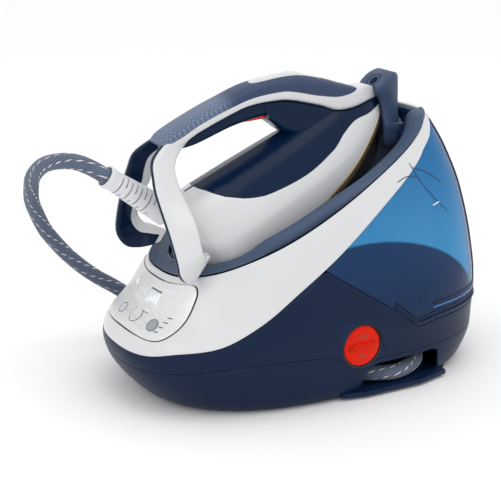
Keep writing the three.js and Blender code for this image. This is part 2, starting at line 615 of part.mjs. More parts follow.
// The white handle frame: a band along both sides of the handle that splits into two heel legs.
const legOuter = [[24, 156], [10, 156], [-15, 148.5], [-27, 121], [-39, 88], [-48, 63], [-51, 50],
  [-49, 40], [-42, 34], [-22, 33], [-8, 32], [6, 30]];
const legMiddle = [[24, 150], [8, 146], [-10, 134], [-21, 113], [-32, 88], [-39, 64], [-40, 54], [-37, 46],
  [-26, 41], [-10, 38], [6, 34]];
const legInner = [[30, 141], [18, 138], [6, 130], [-4, 100], [-13, 76], [-19, 62], [-20, 55], [-16, 50],
  [-8, 47], [6, 43]];
// Height, then the inner and outer face of the leg as distances from the middle.
const splay = [[168, 6, 20], [156, 10, 24], [148, 18, 31], [121, 38, 50], [88, 60, 72], [62, 73, 86],
  [50, 72, 85], [44, 44, 84], [36, 44, 79], [28, 44, 66], [20, 44, 60]];
function legZone(side, depth) {
  const inside = splay.map(([z, low]) => [side * low, z]);
  const outside = splay.map(([z, low, high]) => [side * Math.max(low + 2, high - depth), z]).reverse();
  return along([...inside, ...outside], -100, 40);
}
const footPlan = (side) => upright([[side * 88, -60], [side * 88, -34], [side * 64, 8], [side * 44, 8],
  [side * 46, -8], [side * 62, -34], [side * 62, -60]], -10, 50).add(box(-100, 100, -100, 40, 49, 200));
const ironClear = ironSolid(-clearance, 0, bodyTop + clearance);
const band = across([...bandLow, [275.6, 69], ...bandTop.slice().reverse(), [6, 150], [10, 146]])
  .intersect(nosePlan);
const skinDepth = 4.5;
const lining = (side, grown) => across([...legOuter.map(([y, z]) => [y - 4, z - 4 * (z < 60)]),
  ...legMiddle.map(([y, z]) => [y + grown, z]).reverse()])
  .intersect(legZone(side, skinDepth - grown)).intersect(box(-100, 100, -100, 12 + grown, 0, 152 + grown));
const legs = [-1, 1].map((side) => across([...legOuter, ...legInner.slice().reverse()])
  .intersect(legZone(side, 0)).intersect(footPlan(side)).subtract(ironClear));
const frame = band.add(legs[0]).add(legs[1]).subtract(lining(-1, clearance)).subtract(lining(1, clearance));
add(iron, 'handle_frame', frame, white);
[-1, 1].forEach((side, index) => {
  add(iron, side < 0 ? 'leg_strip_left' : 'leg_strip_right', legs[index].intersect(lining(side, 0)), navy);
});
const grip = across([...handleTop, ...shift(bandTop, gap).reverse()]).intersect(nosePlan);
const bezelZone = (inset) => across([[132 + inset, 161.4], [150, 157], [183, 145], [214 - inset, 123.2],
  [214 - inset, 116 + inset], [183, 138 + inset], [150, 150 + inset], [132 + inset, 154 + inset]],
-10 + inset, 10 - inset);
const boostRear = [172, 150.9];
const boostFront = [194, 139.6];
const boostNormal = [0.457, 0.8896];
function boostZone(inset, depth) {
  const slide = ([y, z], step, drop) => [
    y + step * boostNormal[1] - drop * boostNormal[0], z - step * boostNormal[0] - drop * boostNormal[1]];
  return across([slide(boostRear, inset, depth), slide(boostFront, -inset, depth),
    slide(boostFront, -inset, 0), slide(boostRear, inset, 0)], -6.5 + inset, 6.5 - inset);
}
const boostDepth = 9;
const boostPocket = boostZone(-clearance, boostDepth + 3);
add(iron, 'grip', grip.subtract(bezelZone(-clearance)).subtract(boostPocket), slate);
add(iron, 'chrome_bezel', bezelZone(0).subtract(boostPocket), steel);
add(iron, 'boost_button', boostZone(0, boostDepth), silver);

// ---------------------------------------------------------------- hose boot and hose
const bootStart = [0, -15, 85];
const bootEnd = [0, -53, 150];
const boot = rod(bootStart, bootEnd, 15, 24, 11.5).subtract(ironClear).subtract(frame);
add(iron, 'hose_boot', boot, white);
base.add(iron);

const floorRun = hoseDiameter / 2 + clearance;
const crossing = floorRun + hoseDiameter + 2 * clearance;
const hoseRoute = [
  [0, -220.4, 249.3], [-0.4, -226.5, 253.7], [-10, -237, 260.5], [-22, -248, 264.5], [-38, -260, 263],
  [-59, -269, 255], [-85, -271, 238], [-108, -266, 219], [-125, -260, 199], [-138, -250, 179],
  [-148, -238, 157], [-155, -223, 137], [-158, -207, 118], [-157, -190, 101], [-156, -172, 86],
  [-153, -156, 75], [-151, -140, 63], [-151, -118, 47], [-153, -92, 31], [-157, -64, 18],
  [-163, -34, 10.5], [-171, -4, floorRun], [-178, 26, floorRun], [-181, 60, floorRun],
  [-186, 94, floorRun], [-204, 126, floorRun], [-238, 144, floorRun], [-274, 134, floorRun],
  [-298, 104, floorRun], [-303, 64, floorRun], [-287, 28, floorRun], [-254, 10, 11],
  [-219, 16, 20], [-194, 34, crossing], [-172, 52, crossing], [-150, 71, 21],
  [-126, 92, 18.6], [-92, 116, 18], [-46, 133, 16], [0, 138, 16], [44, 134, 16], [84, 120, 17],
  [110, 96, 18.6], [121, 66, 18.6], [113, 45, 18.2],
  ...[14, 0.7].map((out) => [glandX + out * glandTurn[0], glandY + out * glandTurn[1], glandZ + out / 16]),
];
add(base, 'steam_hose', tube(hoseRoute, hoseDiameter / 2, 8, 88), woven);

export default base;
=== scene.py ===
import bpy, bmesh, math
import numpy as np
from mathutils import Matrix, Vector


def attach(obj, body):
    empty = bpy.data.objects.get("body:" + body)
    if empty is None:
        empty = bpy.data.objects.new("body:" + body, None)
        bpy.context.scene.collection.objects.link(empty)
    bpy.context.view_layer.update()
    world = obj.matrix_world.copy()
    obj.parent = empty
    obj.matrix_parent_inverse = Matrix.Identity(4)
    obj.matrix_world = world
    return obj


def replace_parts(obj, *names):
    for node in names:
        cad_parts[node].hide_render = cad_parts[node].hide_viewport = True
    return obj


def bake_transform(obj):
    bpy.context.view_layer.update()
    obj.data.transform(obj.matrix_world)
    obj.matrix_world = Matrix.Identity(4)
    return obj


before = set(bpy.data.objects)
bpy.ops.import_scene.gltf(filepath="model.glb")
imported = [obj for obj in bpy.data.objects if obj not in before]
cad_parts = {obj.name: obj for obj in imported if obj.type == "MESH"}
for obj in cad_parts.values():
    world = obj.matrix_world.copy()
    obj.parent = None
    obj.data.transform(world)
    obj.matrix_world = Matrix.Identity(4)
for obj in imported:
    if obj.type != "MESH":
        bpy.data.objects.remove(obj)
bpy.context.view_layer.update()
scene = bpy.context.scene


# ---------------------------------------------------------------- camera
# The appliance is seen from its front right corner and a little from above, through a long lens,
# so that its upright edges stay nearly parallel.
lens_at = Vector((1.2432, -0.7401, 0.5921))
look_at = Vector((-0.008, -0.0465, 0.141))
eye = bpy.data.objects.new("camera", bpy.data.cameras.new("camera"))
eye.data.lens, eye.data.sensor_width = 95.6, 36
eye.location = lens_at
eye.rotation_euler = (look_at - lens_at).to_track_quat("-Z", "Y").to_euler()
scene.collection.objects.link(eye)
scene.camera = eye
scene.view_settings.view_transform = "Standard"


# ---------------------------------------------------------------- steam hose
# A rubber hose in a braided textile sleeve, flecked with pale thread. It leaves the boot at the
# iron's heel, arches down to the table, lies in one loop and enters the channel under the base.
def rgb(red, green, blue):
    """A linear colour from the 0-255 values of a colour chart."""
    return tuple(((c / 255 + 0.055) / 1.055) ** 2.4 if c > 10 else c / 3295 for c in (red, green, blue)) + (1,)


class Link:
    """One output of a shader node, which takes part in sums."""

    def __init__(self, paint, socket):
        self.paint, self.socket = paint, socket

    def sum_with(self, other, operation, swap=False):
        sides = (other, self) if swap else (self, other)
        return self.paint.node("ShaderNodeMath", {"operation": operation}, {0: sides[0], 1: sides[1]})

    def __add__(self, other): return self.sum_with(other, "ADD")
    def __sub__(self, other): return self.sum_with(other, "SUBTRACT")
    def __mul__(self, other): return self.sum_with(other, "MULTIPLY")
    def __radd__(self, other): return self.sum_with(other, "ADD", True)
    def __rsub__(self, other): return self.sum_with(other, "SUBTRACT", True)
    def __rmul__(self, other): return self.sum_with(other, "MULTIPLY", True)

    def over(self, edge, width=0.001):
        """0 below the edge and 1 above it, with a soft step."""
        return self.paint.node("ShaderNodeMapRange", {"interpolation_type": "SMOOTHSTEP"},
                               {"Value": self, "From Min": edge - width, "From Max": edge + width})


class Paint:
    """One finish, put together from nodes."""

    def __init__(self, name, **fixed):
        self.material = bpy.data.materials.new(name)
        self.material.use_nodes = True
        self.tree = self.material.node_tree
        self.shader = self.tree.nodes["Principled BSDF"]
        for socket, value in fixed.items():
            self.shader.inputs[socket.replace("_", " ")].default_value = value

    def node(self, kind, settings=None, sockets=None, out=0):
        made = self.tree.nodes.new(kind)
        for key, value in (settings or {}).items():
            setattr(made, key, value)
        for key, value in (sockets or {}).items():
            self.plug(made.inputs[key], value)
        return Link(self, made.outputs[out])

    def plug(self, socket, value):
        if isinstance(value, Link):
            self.tree.links.new(value.socket, socket)
        else:
            socket.default_value = value

    def set(self, socket, value):
        self.plug(self.shader.inputs[socket], value)
        return self

    def place(self):
        return self.node("ShaderNodeTexCoord", out="Object")

    def noise(self, scale, detail=2, at=None):
        return self.node("ShaderNodeTexNoise", None,
                         {"Vector": at or self.place(), "Scale": scale, "Detail": detail})

    def wave(self, scale, at, direction="X", distort=0.0):
        return self.node("ShaderNodeTexWave", {"bands_direction": direction},
                         {"Vector": at, "Scale": scale, "Distortion": distort}, "Fac")

    def stretched(self, x, y, z, out="Object"):
        return self.node("ShaderNodeVectorMath", {"operation": "MULTIPLY"},
                         {0: self.node("ShaderNodeTexCoord", out=out), 1: (x, y, z)})

    def part(self, at, axis):
        return self.node("ShaderNodeSeparateXYZ", None, {0: at}, axis)

    def blend(self, share, first, second):
        return self.node("ShaderNodeMix", {"data_type": "RGBA"}, {0: share, 6: first, 7: second}, 2)

    def wear(self):
        """1 on worn convex edges."""
        return self.node("ShaderNodeNewGeometry", out="Pointiness").over(0.56, 0.05)

    def relief(self, height, strength, depth=0.0004):
        bump = self.node("ShaderNodeBump", None, {"Height": height, "Strength": strength, "Distance": depth})
        return self.set("Normal", bump)


def spline(points, per_span):
    """A smooth curve through points, as a dense list."""
    p = np.array(points, float)
    p = np.vstack([2 * p[0] - p[1], p, 2 * p[-1] - p[-2]])
    out = []
    for i in range(1, len(p) - 2):
        for t in np.arange(per_span) / per_span:
            a, b, c, d = p[i - 1:i + 3]
            out.append(0.5 * (2 * b + (c - a) * t + (2 * a - 5 * b + 4 * c - d) * t ** 2
                              + (3 * b - a - 3 * c + d) * t ** 3))
    return np.array(out + [p[-2]])


def mesh_piece(name, points, faces):
    """A mesh object from points in millimetres."""
    mesh = bpy.data.meshes.new(name)
    mesh.from_pydata([tuple(0.001 * float(c) for c in p) for p in points], [], faces)
    mesh.validate()
    made = bpy.data.objects.new(name, mesh)
    scene.collection.objects.link(made)
    return made


def rings(name, rows, closed=True, ends=(False, False)):
    """A skin over rows of equally many points. ends close the first and the last row."""
    rows = [np.asarray(row, float) for row in rows]
    n = len(rows[0])
    points = np.vstack(rows)
    span = n if closed else n - 1
    faces = [(r * n + k, r * n + (k + 1) % n, (r + 1) * n + (k + 1) % n, (r + 1) * n + k)
             for r in range(len(rows) - 1) for k in range(span)]
    for row, wanted in ((0, ends[0]), (len(rows) - 1, ends[1])):
        if wanted:
            middle = len(points)
            points = np.vstack([points, points[row * n:row * n + n].mean(0)])
            faces += [(row * n + k, row * n + (k + 1) % n, middle) if row else
                      (row * n + (k + 1) % n, row * n + k, middle) for k in range(n)]
    return mesh_piece(name, points, faces)


def settle(piece, thickness=0, bevel=0, angle=38, segments=2, clean=True):
    """Gives a piece its wall and rounded edges for good, then smooth shading between its edges."""
    if clean:
        work = bmesh.new()
        work.from_mesh(piece.data)
        bmesh.ops.remove_doubles(work, verts=work.verts, dist=1e-6)
        bmesh.ops.recalc_face_normals(work, faces=work.faces)
        work.to_mesh(piece.data)
        work.free()
    if thickness:
        wall = piece.modifiers.new("wall", "SOLIDIFY")
        wall.thickness, wall.offset = abs(thickness) * 0.001, -1 if thickness > 0 else 1
        wall.use_even_offset = True
    if bevel:
        edge = piece.modifiers.new("edge", "BEVEL")
        edge.width, edge.segments, edge.limit_method = bevel * 0.001, segments, "ANGLE"
        edge.angle_limit = math.radians(40)
    if piece.modifiers:
        bpy.context.view_layer.update()
        shaped = bpy.data.meshes.new_from_object(piece.evaluated_get(bpy.context.evaluated_depsgraph_get()))
        piece.modifiers.clear()
        piece.data = shaped
    piece.data.shade_smooth()
    piece.data.set_sharp_from_angle(angle=math.radians(angle))
    return piece


def fit(piece, paint, body, slot, *nodes):
    """Gives a piece its finish, its body and the solids it stands for; its slot is not used."""
    piece.data.materials.clear()
    piece.data.materials.append(paint.material)
    if body:
        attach(piece, body)
    if nodes:
        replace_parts(piece, *nodes)
    return piece


hose_diameter = 17
floor_run = 8.9
crossing = 26.7
hose_exit = (0, -220.4, 249.3)
hose_points = [
    hose_exit, (-0.4, -226.5, 253.7), (-10, -237, 260.5), (-22, -248, 264.5), (-38, -260, 263),
    (-59, -269, 255), (-85, -271, 238), (-108, -266, 219), (-125, -260, 199), (-138, -250, 179),
    (-148, -238, 157), (-155, -223, 137), (-158, -207, 118), (-157, -190, 101), (-156, -172, 86),
    (-153, -156, 75), (-151, -140, 63), (-151, -118, 47), (-153, -92, 31), (-157, -64, 18),
    (-163, -34, 10.5), (-171, -4, floor_run), (-178, 26, floor_run), (-181, 60, floor_run),
    (-186, 94, floor_run), (-204, 126, floor_run), (-238, 144, floor_run), (-274, 134, floor_run),
    (-298, 104, floor_run), (-303, 64, floor_run), (-287, 28, floor_run), (-254, 10, 11), (-219, 16, 20),
    (-194, 34, crossing), (-172, 52, crossing), (-150, 71, 21), (-126, 92, 18.6), (-92, 116, 18),
    (-46, 133, 16), (0, 138, 16), (44, 134, 16), (84, 120, 17), (110, 96, 18.6), (121, 66, 18.6),
    (113, 45, 18.2), (100.7, 28, 17.4), (92.4, 17.5, 16.5)]
hose_line = spline(hose_points, 14)
steps = np.linalg.norm(np.diff(hose_line, axis=0), axis=1)
hose_sides = 28


def solid(name, rows, **wall):
    """A closed solid over rows of points."""
    return settle(rings(name, rows, ends=(True, True)), **wall)


def tube_rows(line, radius, sides):
    """Rings of points round a line, turned as little as possible from one to the next."""
    along = np.gradient(line, axis=0)
    along /= np.linalg.norm(along, axis=1)[:, None]
    side = np.cross(along[0], (0, 0, 1.0))
    rows = []
    for at, ahead in zip(line, along):
        side = side - ahead * side.dot(ahead)
        side /= np.linalg.norm(side)
        up = np.cross(ahead, side)
        rows.append([at + radius * (math.cos(a) * side + math.sin(a) * up)
                     for a in np.arange(sides) * 2 * math.pi / sides])
    return rows


hose = solid("steam_hose_sleeve", tube_rows(hose_line, hose_diameter / 2, hose_sides), clean=False)
around = hose.data.uv_layers.new(name="sleeve")
travel = np.concatenate([[0], np.cumsum(steps)])
for face in hose.data.polygons:
    corners = [(hose.data.loops[k].vertex_index, k) for k in face.loop_indices]
    turns = [(v % hose_sides) / hose_sides for v, k in corners]
    for (v, k), turn in zip(corners, turns):
        row = min(v // hose_sides, len(hose_line) - 1)
        turn += 1 if max(turns) - turn > 0.5 else 0
        around.data[k].uv = (turn, travel[row] / (math.pi * hose_diameter))

woven = Paint("woven_sleeve", Roughness=0.82, Specular_IOR_Level=0.3, Sheen_Weight=0.15)
uv = woven.node("ShaderNodeTexCoord", out="UV")
turn, run = woven.part(uv, 0), woven.part(uv, 1)
warp = woven.wave(5, woven.node("ShaderNodeCombineXYZ", None, {0: turn + run, 1: 0.0}), "X")
weft = woven.wave(5, woven.node("ShaderNodeCombineXYZ", None, {0: turn - run, 1: 0.0}), "X")
weave = warp * weft
lane = woven.wave(1.6, woven.node("ShaderNodeCombineXYZ", None, {0: turn + 0.25 * run, 1: 0.0}), "X")
dash = woven.wave(2.6, woven.node("ShaderNodeCombineXYZ", None, {0: run + 1.7 * turn, 1: 0.0}), "X")
fleck = lane.over(0.94, 0.04) * dash.over(0.72, 0.1)
cloth = woven.blend(weave, rgb(52, 65, 84), rgb(126, 138, 156))
cloth = woven.blend(woven.noise(60) * 0.5, cloth, rgb(104, 120, 144))
woven.set("Base Color", woven.blend(fleck, cloth, rgb(236, 222, 222)))
woven.relief(weave + fleck * 0.6, 0.7, 0.0008)
fit(hose, woven, None, "woven_sleeve", "steam_hose")
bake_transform(hose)


# ---------------------------------------------------------------- floor and light
# A white table runs out to the horizon under a white sky. A wide soft light hangs overhead, and a
# weaker one stands in front.
def soft_light(name, at, size, power):
    lamp = bpy.data.objects.new(name, bpy.data.lights.new(name, "AREA"))
    lamp.data.size, lamp.data.energy, lamp.location = size, power, at
    lamp.rotation_euler = (Vector((0, 0, 0.12)) - Vector(at)).to_track_quat("-Z", "Y").to_euler()
    scene.collection.objects.link(lamp)


table_reach = 30000
table = mesh_piece("table", [(-table_reach, -table_reach, 0), (table_reach, -table_reach, 0),
                             (table_reach, table_reach, 0), (-table_reach, table_reach, 0)], [(0, 1, 2, 3)])
table.data.materials.append(Paint("table", Base_Color=(0.93, 0.93, 0.935, 1), Roughness=0.8).material)
world = bpy.data.worlds.new("studio")
world.use_nodes = True
world.node_tree.nodes["Background"].inputs[0].default_value = (1, 1, 1, 1)
world.node_tree.nodes["Background"].inputs[1].default_value = 1.04
scene.world = world
soft_light("overhead", (0.5, 0.1, 1.9), 1.2, 6)
soft_light("front", (0.6, -1.8, 1.1), 1.0, 3)


# ---------------------------------------------------------------- lower tray
# The navy polypropylene tray is moulded with its floor, the lip under the hose windows and two
# ribs that make the hose channel. Four screws hold it to the body, and rubber feet are stuck on.
def moulded(name, colour, gloss, grain=0.25, lift=1.35, **fixed):
    """Moulded plastic: fine spark grain, uneven sheen, slight colour drift, paler worn edges."""
    paint = Paint(name, **fixed)
    cloud, spark = paint.noise(9, 3), paint.noise(900, 2)
    pale = tuple(min(1, c * lift + 0.004) for c in colour[:3]) + (1,)
    deep = tuple(c * 0.93 for c in colour[:3]) + (1,)
    body = paint.blend(cloud, deep, tuple(min(1, c * 1.05) for c in colour[:3]) + (1,))
    paint.set("Base Color", paint.blend(paint.wear() * 0.5, body, pale))
    paint.set("Roughness", gloss + 0.10 * cloud - 0.05)
    return paint.relief(spark, grain, 0.00006)


navy = moulded("navy_shell", rgb(6, 27, 57), 0.36, Coat_Weight=0.03, Coat_Roughness=0.12, Specular_IOR_Level=0.16)
white = moulded("white_shell", rgb(208, 209, 211), 0.26, lift=1.04, Coat_Weight=0.1, Coat_Roughness=0.2)
black = moulded("black_plastic", rgb(14, 16, 20), 0.5)


def smooth(table, column=1):
    """A smooth reading of one column of a table, that never swings past its values."""
    keys = np.array([row[0] for row in table], float)
    values = np.array([row[column] for row in table], float)
    rise = np.diff(values) / np.diff(keys)
    slope = np.concatenate([[rise[0]], np.where(rise[:-1] * rise[1:] > 0, 2 * rise[:-1] * rise[1:]
                            / np.where(rise[:-1] + rise[1:] == 0, 1, rise[:-1] + rise[1:]), 0), [rise[-1]]])

    def read(key):
        key = np.clip(np.asarray(key, float), keys[0], keys[-1])
        i = np.clip(np.searchsorted(keys, key) - 1, 0, len(keys) - 2)
        width = keys[i + 1] - keys[i]
        t = (key - keys[i]) / width
        return (values[i] * (1 + 2 * t) * (1 - t) ** 2 + slope[i] * width * t * (1 - t) ** 2
                + values[i + 1] * t * t * (3 - 2 * t) + slope[i + 1] * width * t * t * (t - 1))
    return read


hull = [  # height, front, rear and half width
    (3, -178, 192, 122), (10, -190, 203, 127.5), (46, -216, 219, 133), (60, -219, 219, 134.4),
    (75, -215, 219, 136), (105, -186, 219, 131), (140, -164, 217, 120), (200, -116, 206, 99),
    (250, -60, 186, 79), (300, 0, 156, 56), (340, 40, 139, 40)]
hull_front, hull_rear, hull_half = smooth(hull, 1), smooth(hull, 2), smooth(hull, 3)
front_power, rear_power = 2.5, 2.9
gap = 0.6


def signed(value, exponent):
    """A power that keeps the sign of its base."""
    return np.sign(value) * np.abs(value) ** exponent


def hull_point(angle, z, inset=0.0):
    """A point of the housing: angle 0 is the front, and a quarter turn is the right side."""
    angle, z = np.broadcast_arrays(np.asarray(angle, float), np.asarray(z, float))
    front, rear = hull_front(z) + inset, hull_rear(z) - inset
    n = np.where(np.cos(angle) > 0, front_power, rear_power)
    return np.stack([(hull_half(z) - inset) * signed(np.sin(angle), 2 / n),
                     (front + rear) / 2 - (rear - front) / 2 * signed(np.cos(angle), 2 / n), z], -1)


def half_width_at(y, z):
    """Half the housing's width at a place on its side."""
    front, rear, half = hull_front(z), hull_rear(z), hull_half(z)
    middle = (front + rear) / 2
    n = np.where(y < middle, front_power, rear_power)
    return half * np.maximum(0, 1 - np.abs((y - middle) / ((rear - front) / 2)) ** n) ** (1 / n)


def meets(angle, seam):
    """The height where the housing meets a seam that is drawn in side view."""
    low, high = np.full(np.shape(angle), 0.0), np.full(np.shape(angle), 345.0)
    for _ in range(40):
        middle = (low + high) / 2
        under = middle < seam(hull_point(angle, middle)[..., 1])
        low, high = np.where(under, middle, low), np.where(under, high, middle)
    return (low + high) / 2


def shell_rows(angles, low, high, count, inset=0.0):
    """Rows of points up the housing, from one seam to another."""
    bottom, top = meets(angles, low), meets(angles, high)
    return [hull_point(angles, bottom + (top - bottom) * t, inset) for t in np.linspace(0, 1, count)]


def prism(name, outline, low, high, axis="x", bevel=0):
    """An outline run along an axis: x takes (y, z), y takes (x, z) and z takes (x, y)."""
    place = {"x": lambda a, b, d: (d, a, b), "y": lambda a, b, d: (a, d, b), "z": lambda a, b, d: (a, b, d)}[axis]
    n = len(outline)
    points = [place(a, b, d) for d in (low, high) for a, b in outline]
    sides = [(k, (k + 1) % n, n + (k + 1) % n, n + k) for k in range(n)]
    made = mesh_piece(name, points, sides + [tuple(range(n))[::-1], tuple(range(n, 2 * n))])
    return settle(made, bevel=bevel)


def carve(piece, cutter, operation="DIFFERENCE"):
    """Cuts, joins or keeps with another solid, which is then thrown away."""
    tool = piece.modifiers.new("cut", "BOOLEAN")
    tool.object, tool.operation, tool.solver = cutter, operation, "EXACT"
    bpy.context.view_layer.update()
    shaped = bpy.data.meshes.new_from_object(piece.evaluated_get(bpy.context.evaluated_depsgraph_get()))
    piece.modifiers.clear()
    piece.data = shaped
    bpy.data.objects.remove(cutter)
    return piece


parting = smooth([(-260, 44), (-190, 52), (-110, 61), (-30, 58), (0, 44), (140, 44), (260, 52)])
full_turn = np.arange(192) * 2 * math.pi / 192
tray_bottom = 3
tray_rim = hull_point(full_turn, np.full(192, 3.0))
tray_middle = np.array([0, 7, 3.0])
tray_rows = [tray_middle + (tray_rim - tray_middle) * s for s in (0.05, 0.4, 0.8, 0.97)]
tray_rows += shell_rows(full_turn, lambda y: tray_bottom + 0 * y, lambda y: parting(y) - gap / 2, 9)
tray = settle(rings("tray", tray_rows, ends=(True, False)), thickness=3)
window = [(14, 9), (128, 9), (122, 35), (112, 38), (34, 38), (22, 33)]
carve(tray, prism("window", window, -200, 200))
lip_outline = [(129, -8), (135, 20), (135, 92), (125, 134), (-125, 134), (-135, 92), (-135, 20), (-129, -8)]
lip_tool = prism("lip_tool", lip_outline, 3.2, 8.8, "z", 1.2)
carve(tray, lip_tool, "UNION")
settle(tray, bevel=0.7)
fit(tray, navy, "base", "navy_shell", "bottom_tray")
for name, rear in (("channel_rib_front", 8), ("channel_rib_rear", 163)):
    low_reach, high_reach = (float(half_width_at(rear, z)) - 4 for z in (6.2, 41))
    rib = prism(name, [(-low_reach, 6.2), (low_reach, 6.2), (high_reach, 41), (-high_reach, 41)], rear - 3, rear,
                "y", 0.4)
    fit(rib, black, "base", "navy_shell")


# ---------------------------------------------------------------- lower body
# The navy body wraps round the boiler and pump, from the tray's seam to the white cover and the
# tank. It is one moulding, 3 mm thick, and it has the cup for the orange cap in its right side.
cover_line = smooth([(-260, 62), (-213, 66), (-186, 74), (-150, 81), (-107, 99), (-58, 129), (-4, 161),
                     (54, 199), (121, 246), (129, 254), (145, 266), (158, 280), (170, 285), (260, 288)])
tank_edge = np.array([(-80, 330), (-22, 147), (8, 127), (43, 104), (62, 91), (84, 72), (92, 71.4),
                      (112, 74.4), (260, 76)])
cap_y, cap_z, cap_radius = 13, 63, 23


def tank_line(y):
    """The height of the tank's lower edge, which has sharp corners."""
    return np.interp(y, tank_edge[:, 0], tank_edge[:, 1])


def lathe(name, profile, at, axis, sides=64, bevel=0.3, closed=False):
    """A turned solid: profile is (radius, distance along the axis), from one end to the other."""
    axis = Vector(axis).normalized()
    side = axis.orthogonal().normalized()
    up = axis.cross(side)
    rows = [[Vector(at) + axis * d + (side * math.cos(a) + up * math.sin(a)) * r
             for a in np.arange(sides) * 2 * math.pi / sides] for r, d in profile]
    if closed:
        rows.append(rows[0])
    made = rings(name, rows, ends=(not closed, not closed))
    return settle(made, bevel=bevel)


body_rows = shell_rows(full_turn, lambda y: parting(y) + gap / 2,
                       lambda y: np.minimum(cover_line(y), tank_line(y)) - gap / 2, 14)
body = settle(rings("lower_body_shell", body_rows), thickness=3)
carve(body, lathe("cup", [(cap_radius + 2, 126.5), (cap_radius + 2, 150)], (0, cap_y, cap_z), (1, 0, 0), bevel=0))
settle(body, bevel=0.6)
fit(body, navy, "base", "navy_shell", "lower_body")
cup = lathe("cap_cup", [(cap_radius + 2.6, 124), (cap_radius + 2.6, 133.9), (cap_radius + 0.5, 133.4),
                        (cap_radius + 0.4, 127), (15.6, 127), (15.6, 124)], (0, cap_y, cap_z), (1, 0, 0), closed=True)
fit(cup, black, "base", "navy_shell")


# ---------------------------------------------------------------- upper cover
# The white cover is one glossy ABS moulding that runs round the base under the iron's rest. It
# clips over the lower body, and its lower edge is also the top edge of the tank.
rim_line = smooth([(-260, 126), (-173, 138), (-141, 147), (-102, 161), (-58, 178), (-8, 200), (48, 227),
                   (111, 261), (134, 276), (146, 285), (165, 291), (260, 294)])
cover = settle(rings("upper_cover_shell", shell_rows(full_turn, lambda y: cover_line(y) + gap / 2,
                                                     lambda y: rim_line(y) - gap / 2, 20)), thickness=3, bevel=0.7)
fit(cover, white, "base", "white_shell", "upper_cover")


# ---------------------------------------------------------------- control panel
# A brushed foil plate is set flush into the cover's slope, in a dark gasket. It holds three push
# buttons and prints its symbols round them: drops, tick marks and a small lit window.
def front_point(x, z, lift=0.0):
    """A point on the slope of the housing's front, lifted off it."""
    def surface(a, b):
        front, rear, half = hull_front(b), hull_rear(b), hull_half(b)
        share = (1 - np.clip(np.abs(a / half), 0, 1) ** front_power) ** (1 / front_power)
        return np.array([a, (front + rear) / 2 - (rear - front) / 2 * share, b])
    here = surface(x, z)
    out = np.cross(surface(x + 0.5, z) - surface(x - 0.5, z), surface(x, z + 0.5) - surface(x, z - 0.5))
    return here + lift * out / np.linalg.norm(out)


def foil(name, outline, lift, thickness, paint, body, slot, *nodes, count=10):
    """A thin plate on the slope, from its outline as (x, z) and its lift off the housing."""
    outline = np.array(outline, float)
    middle = outline.mean(0)
    rows = [[front_point(*(middle + (p - middle) * s), lift) for p in outline] for s in np.linspace(0.03, 1, count)]
    plate = settle(rings(name, rows, ends=(True, False)), thickness=0, clean=False)
    outward = plate.data.polygons[len(plate.data.polygons) // 2].normal.y < 0
    if not outward:
        plate.data.flip_normals()
    return fit(settle(plate, thickness=thickness, bevel=0.15, clean=False), paint, body, slot, *nodes)


def loop(points, per_span=8):
    """A closed smooth outline through a few points."""
    p = np.array(points, float)
    dense = spline(np.vstack([p[-2:], p, p[:2]]), per_span)
    return dense[2 * per_span:-2 * per_span - 1 + per_span][:len(p) * per_span]


half_panel = [(0, 83.6), (30, 83), (52, 82.4), (64, 85), (70, 93), (71, 105), (69.5, 119), (67, 130),
              (61, 136.4), (50, 136), (34, 133.8), (14, 132.6)]
panel_points = half_panel + [(-x, z) for x, z in reversed(half_panel[1:])]
panel_loop = loop(panel_points)
panel_middle = panel_loop.mean(0)
panel_spokes = panel_loop - panel_middle
gasket_width = 1.3
gasket_loop = panel_middle + panel_spokes * (1 + gasket_width / np.linalg.norm(panel_spokes, axis=1)[:, None])

silver = Paint("silver_panel", Metallic=0.55, Specular_IOR_Level=0.6)
brush = silver.noise(1, 3, silver.stretched(18, 900, 900))
cloud = silver.noise(14, 2)
silver.set("Base Color", silver.blend(brush, rgb(186, 187, 189), rgb(248, 248, 248)))
silver.set("Roughness", 0.3 + 0.16 * brush + 0.05 * cloud).relief(brush, 0.25, 0.0001)
foil("panel_gasket", gasket_loop, 0.25, 1.2, black, "base", "black_plastic")
foil("panel_plate", panel_loop, 0.7, 1.4, silver, "base", "silver_panel", "control_panel", count=26)
ink = moulded("panel_ink", rgb(96, 102, 108), 0.5)
mark_white = moulded("mark_white", rgb(246, 247, 248), 0.4, lift=1.0)


def patch(name, x0, x1, z0, z1, lift, paint, round_by=0.6):
    """A small rectangle with cut corners, printed on the panel."""
    r = round_by
    outline = [(x0 + r, z0), (x1 - r, z0), (x1, z0 + r), (x1, z1 - r), (x1 - r, z1), (x0 + r, z1),
               (x0, z1 - r), (x0, z0 + r)]
    return foil(name, outline, lift, 0.25, paint, "base", "silver_panel", count=3)


lit = moulded("display_glass", rgb(214, 218, 220), 0.12)
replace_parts(patch("display_pane", 3, 31, 108, 125, 0.85, lit, 2.5), "display_window")
for k in range(4):
    patch(f"display_bar_{k + 1}", 6 + 5.6 * k, 9.8 + 5.6 * k, 110.4, 113.2 + 2.6 * k, 1.0, mark_white)
patch("display_line", 6, 27, 124 - 2.6, 123.2, 1.0, ink, 0.2)
patch("power_mark", -36, -28, 116, 121, 0.85, mark_white, 1.5)
for k in range(4):
    patch(f"tick_{k + 1}", 50 + 0.6 * k, 55 + 1.1 * k, 89.5 + 4.4 * k, 90.5 + 4.4 * k, 0.85, ink, 0.2)
patch("lead_line", 14, 24, 100.2, 100.8, 0.85, ink, 0.2)
buttons = [("power", "power_button", -25, 94, 5.6, 0.9), ("steam_level", "steam_level_button", 7, 96, 9, 1.2),
           ("eco", "eco_button", 42, 94, 6.6, 0.9)]
grey_button = moulded("button_grey", rgb(150, 155, 158), 0.3)
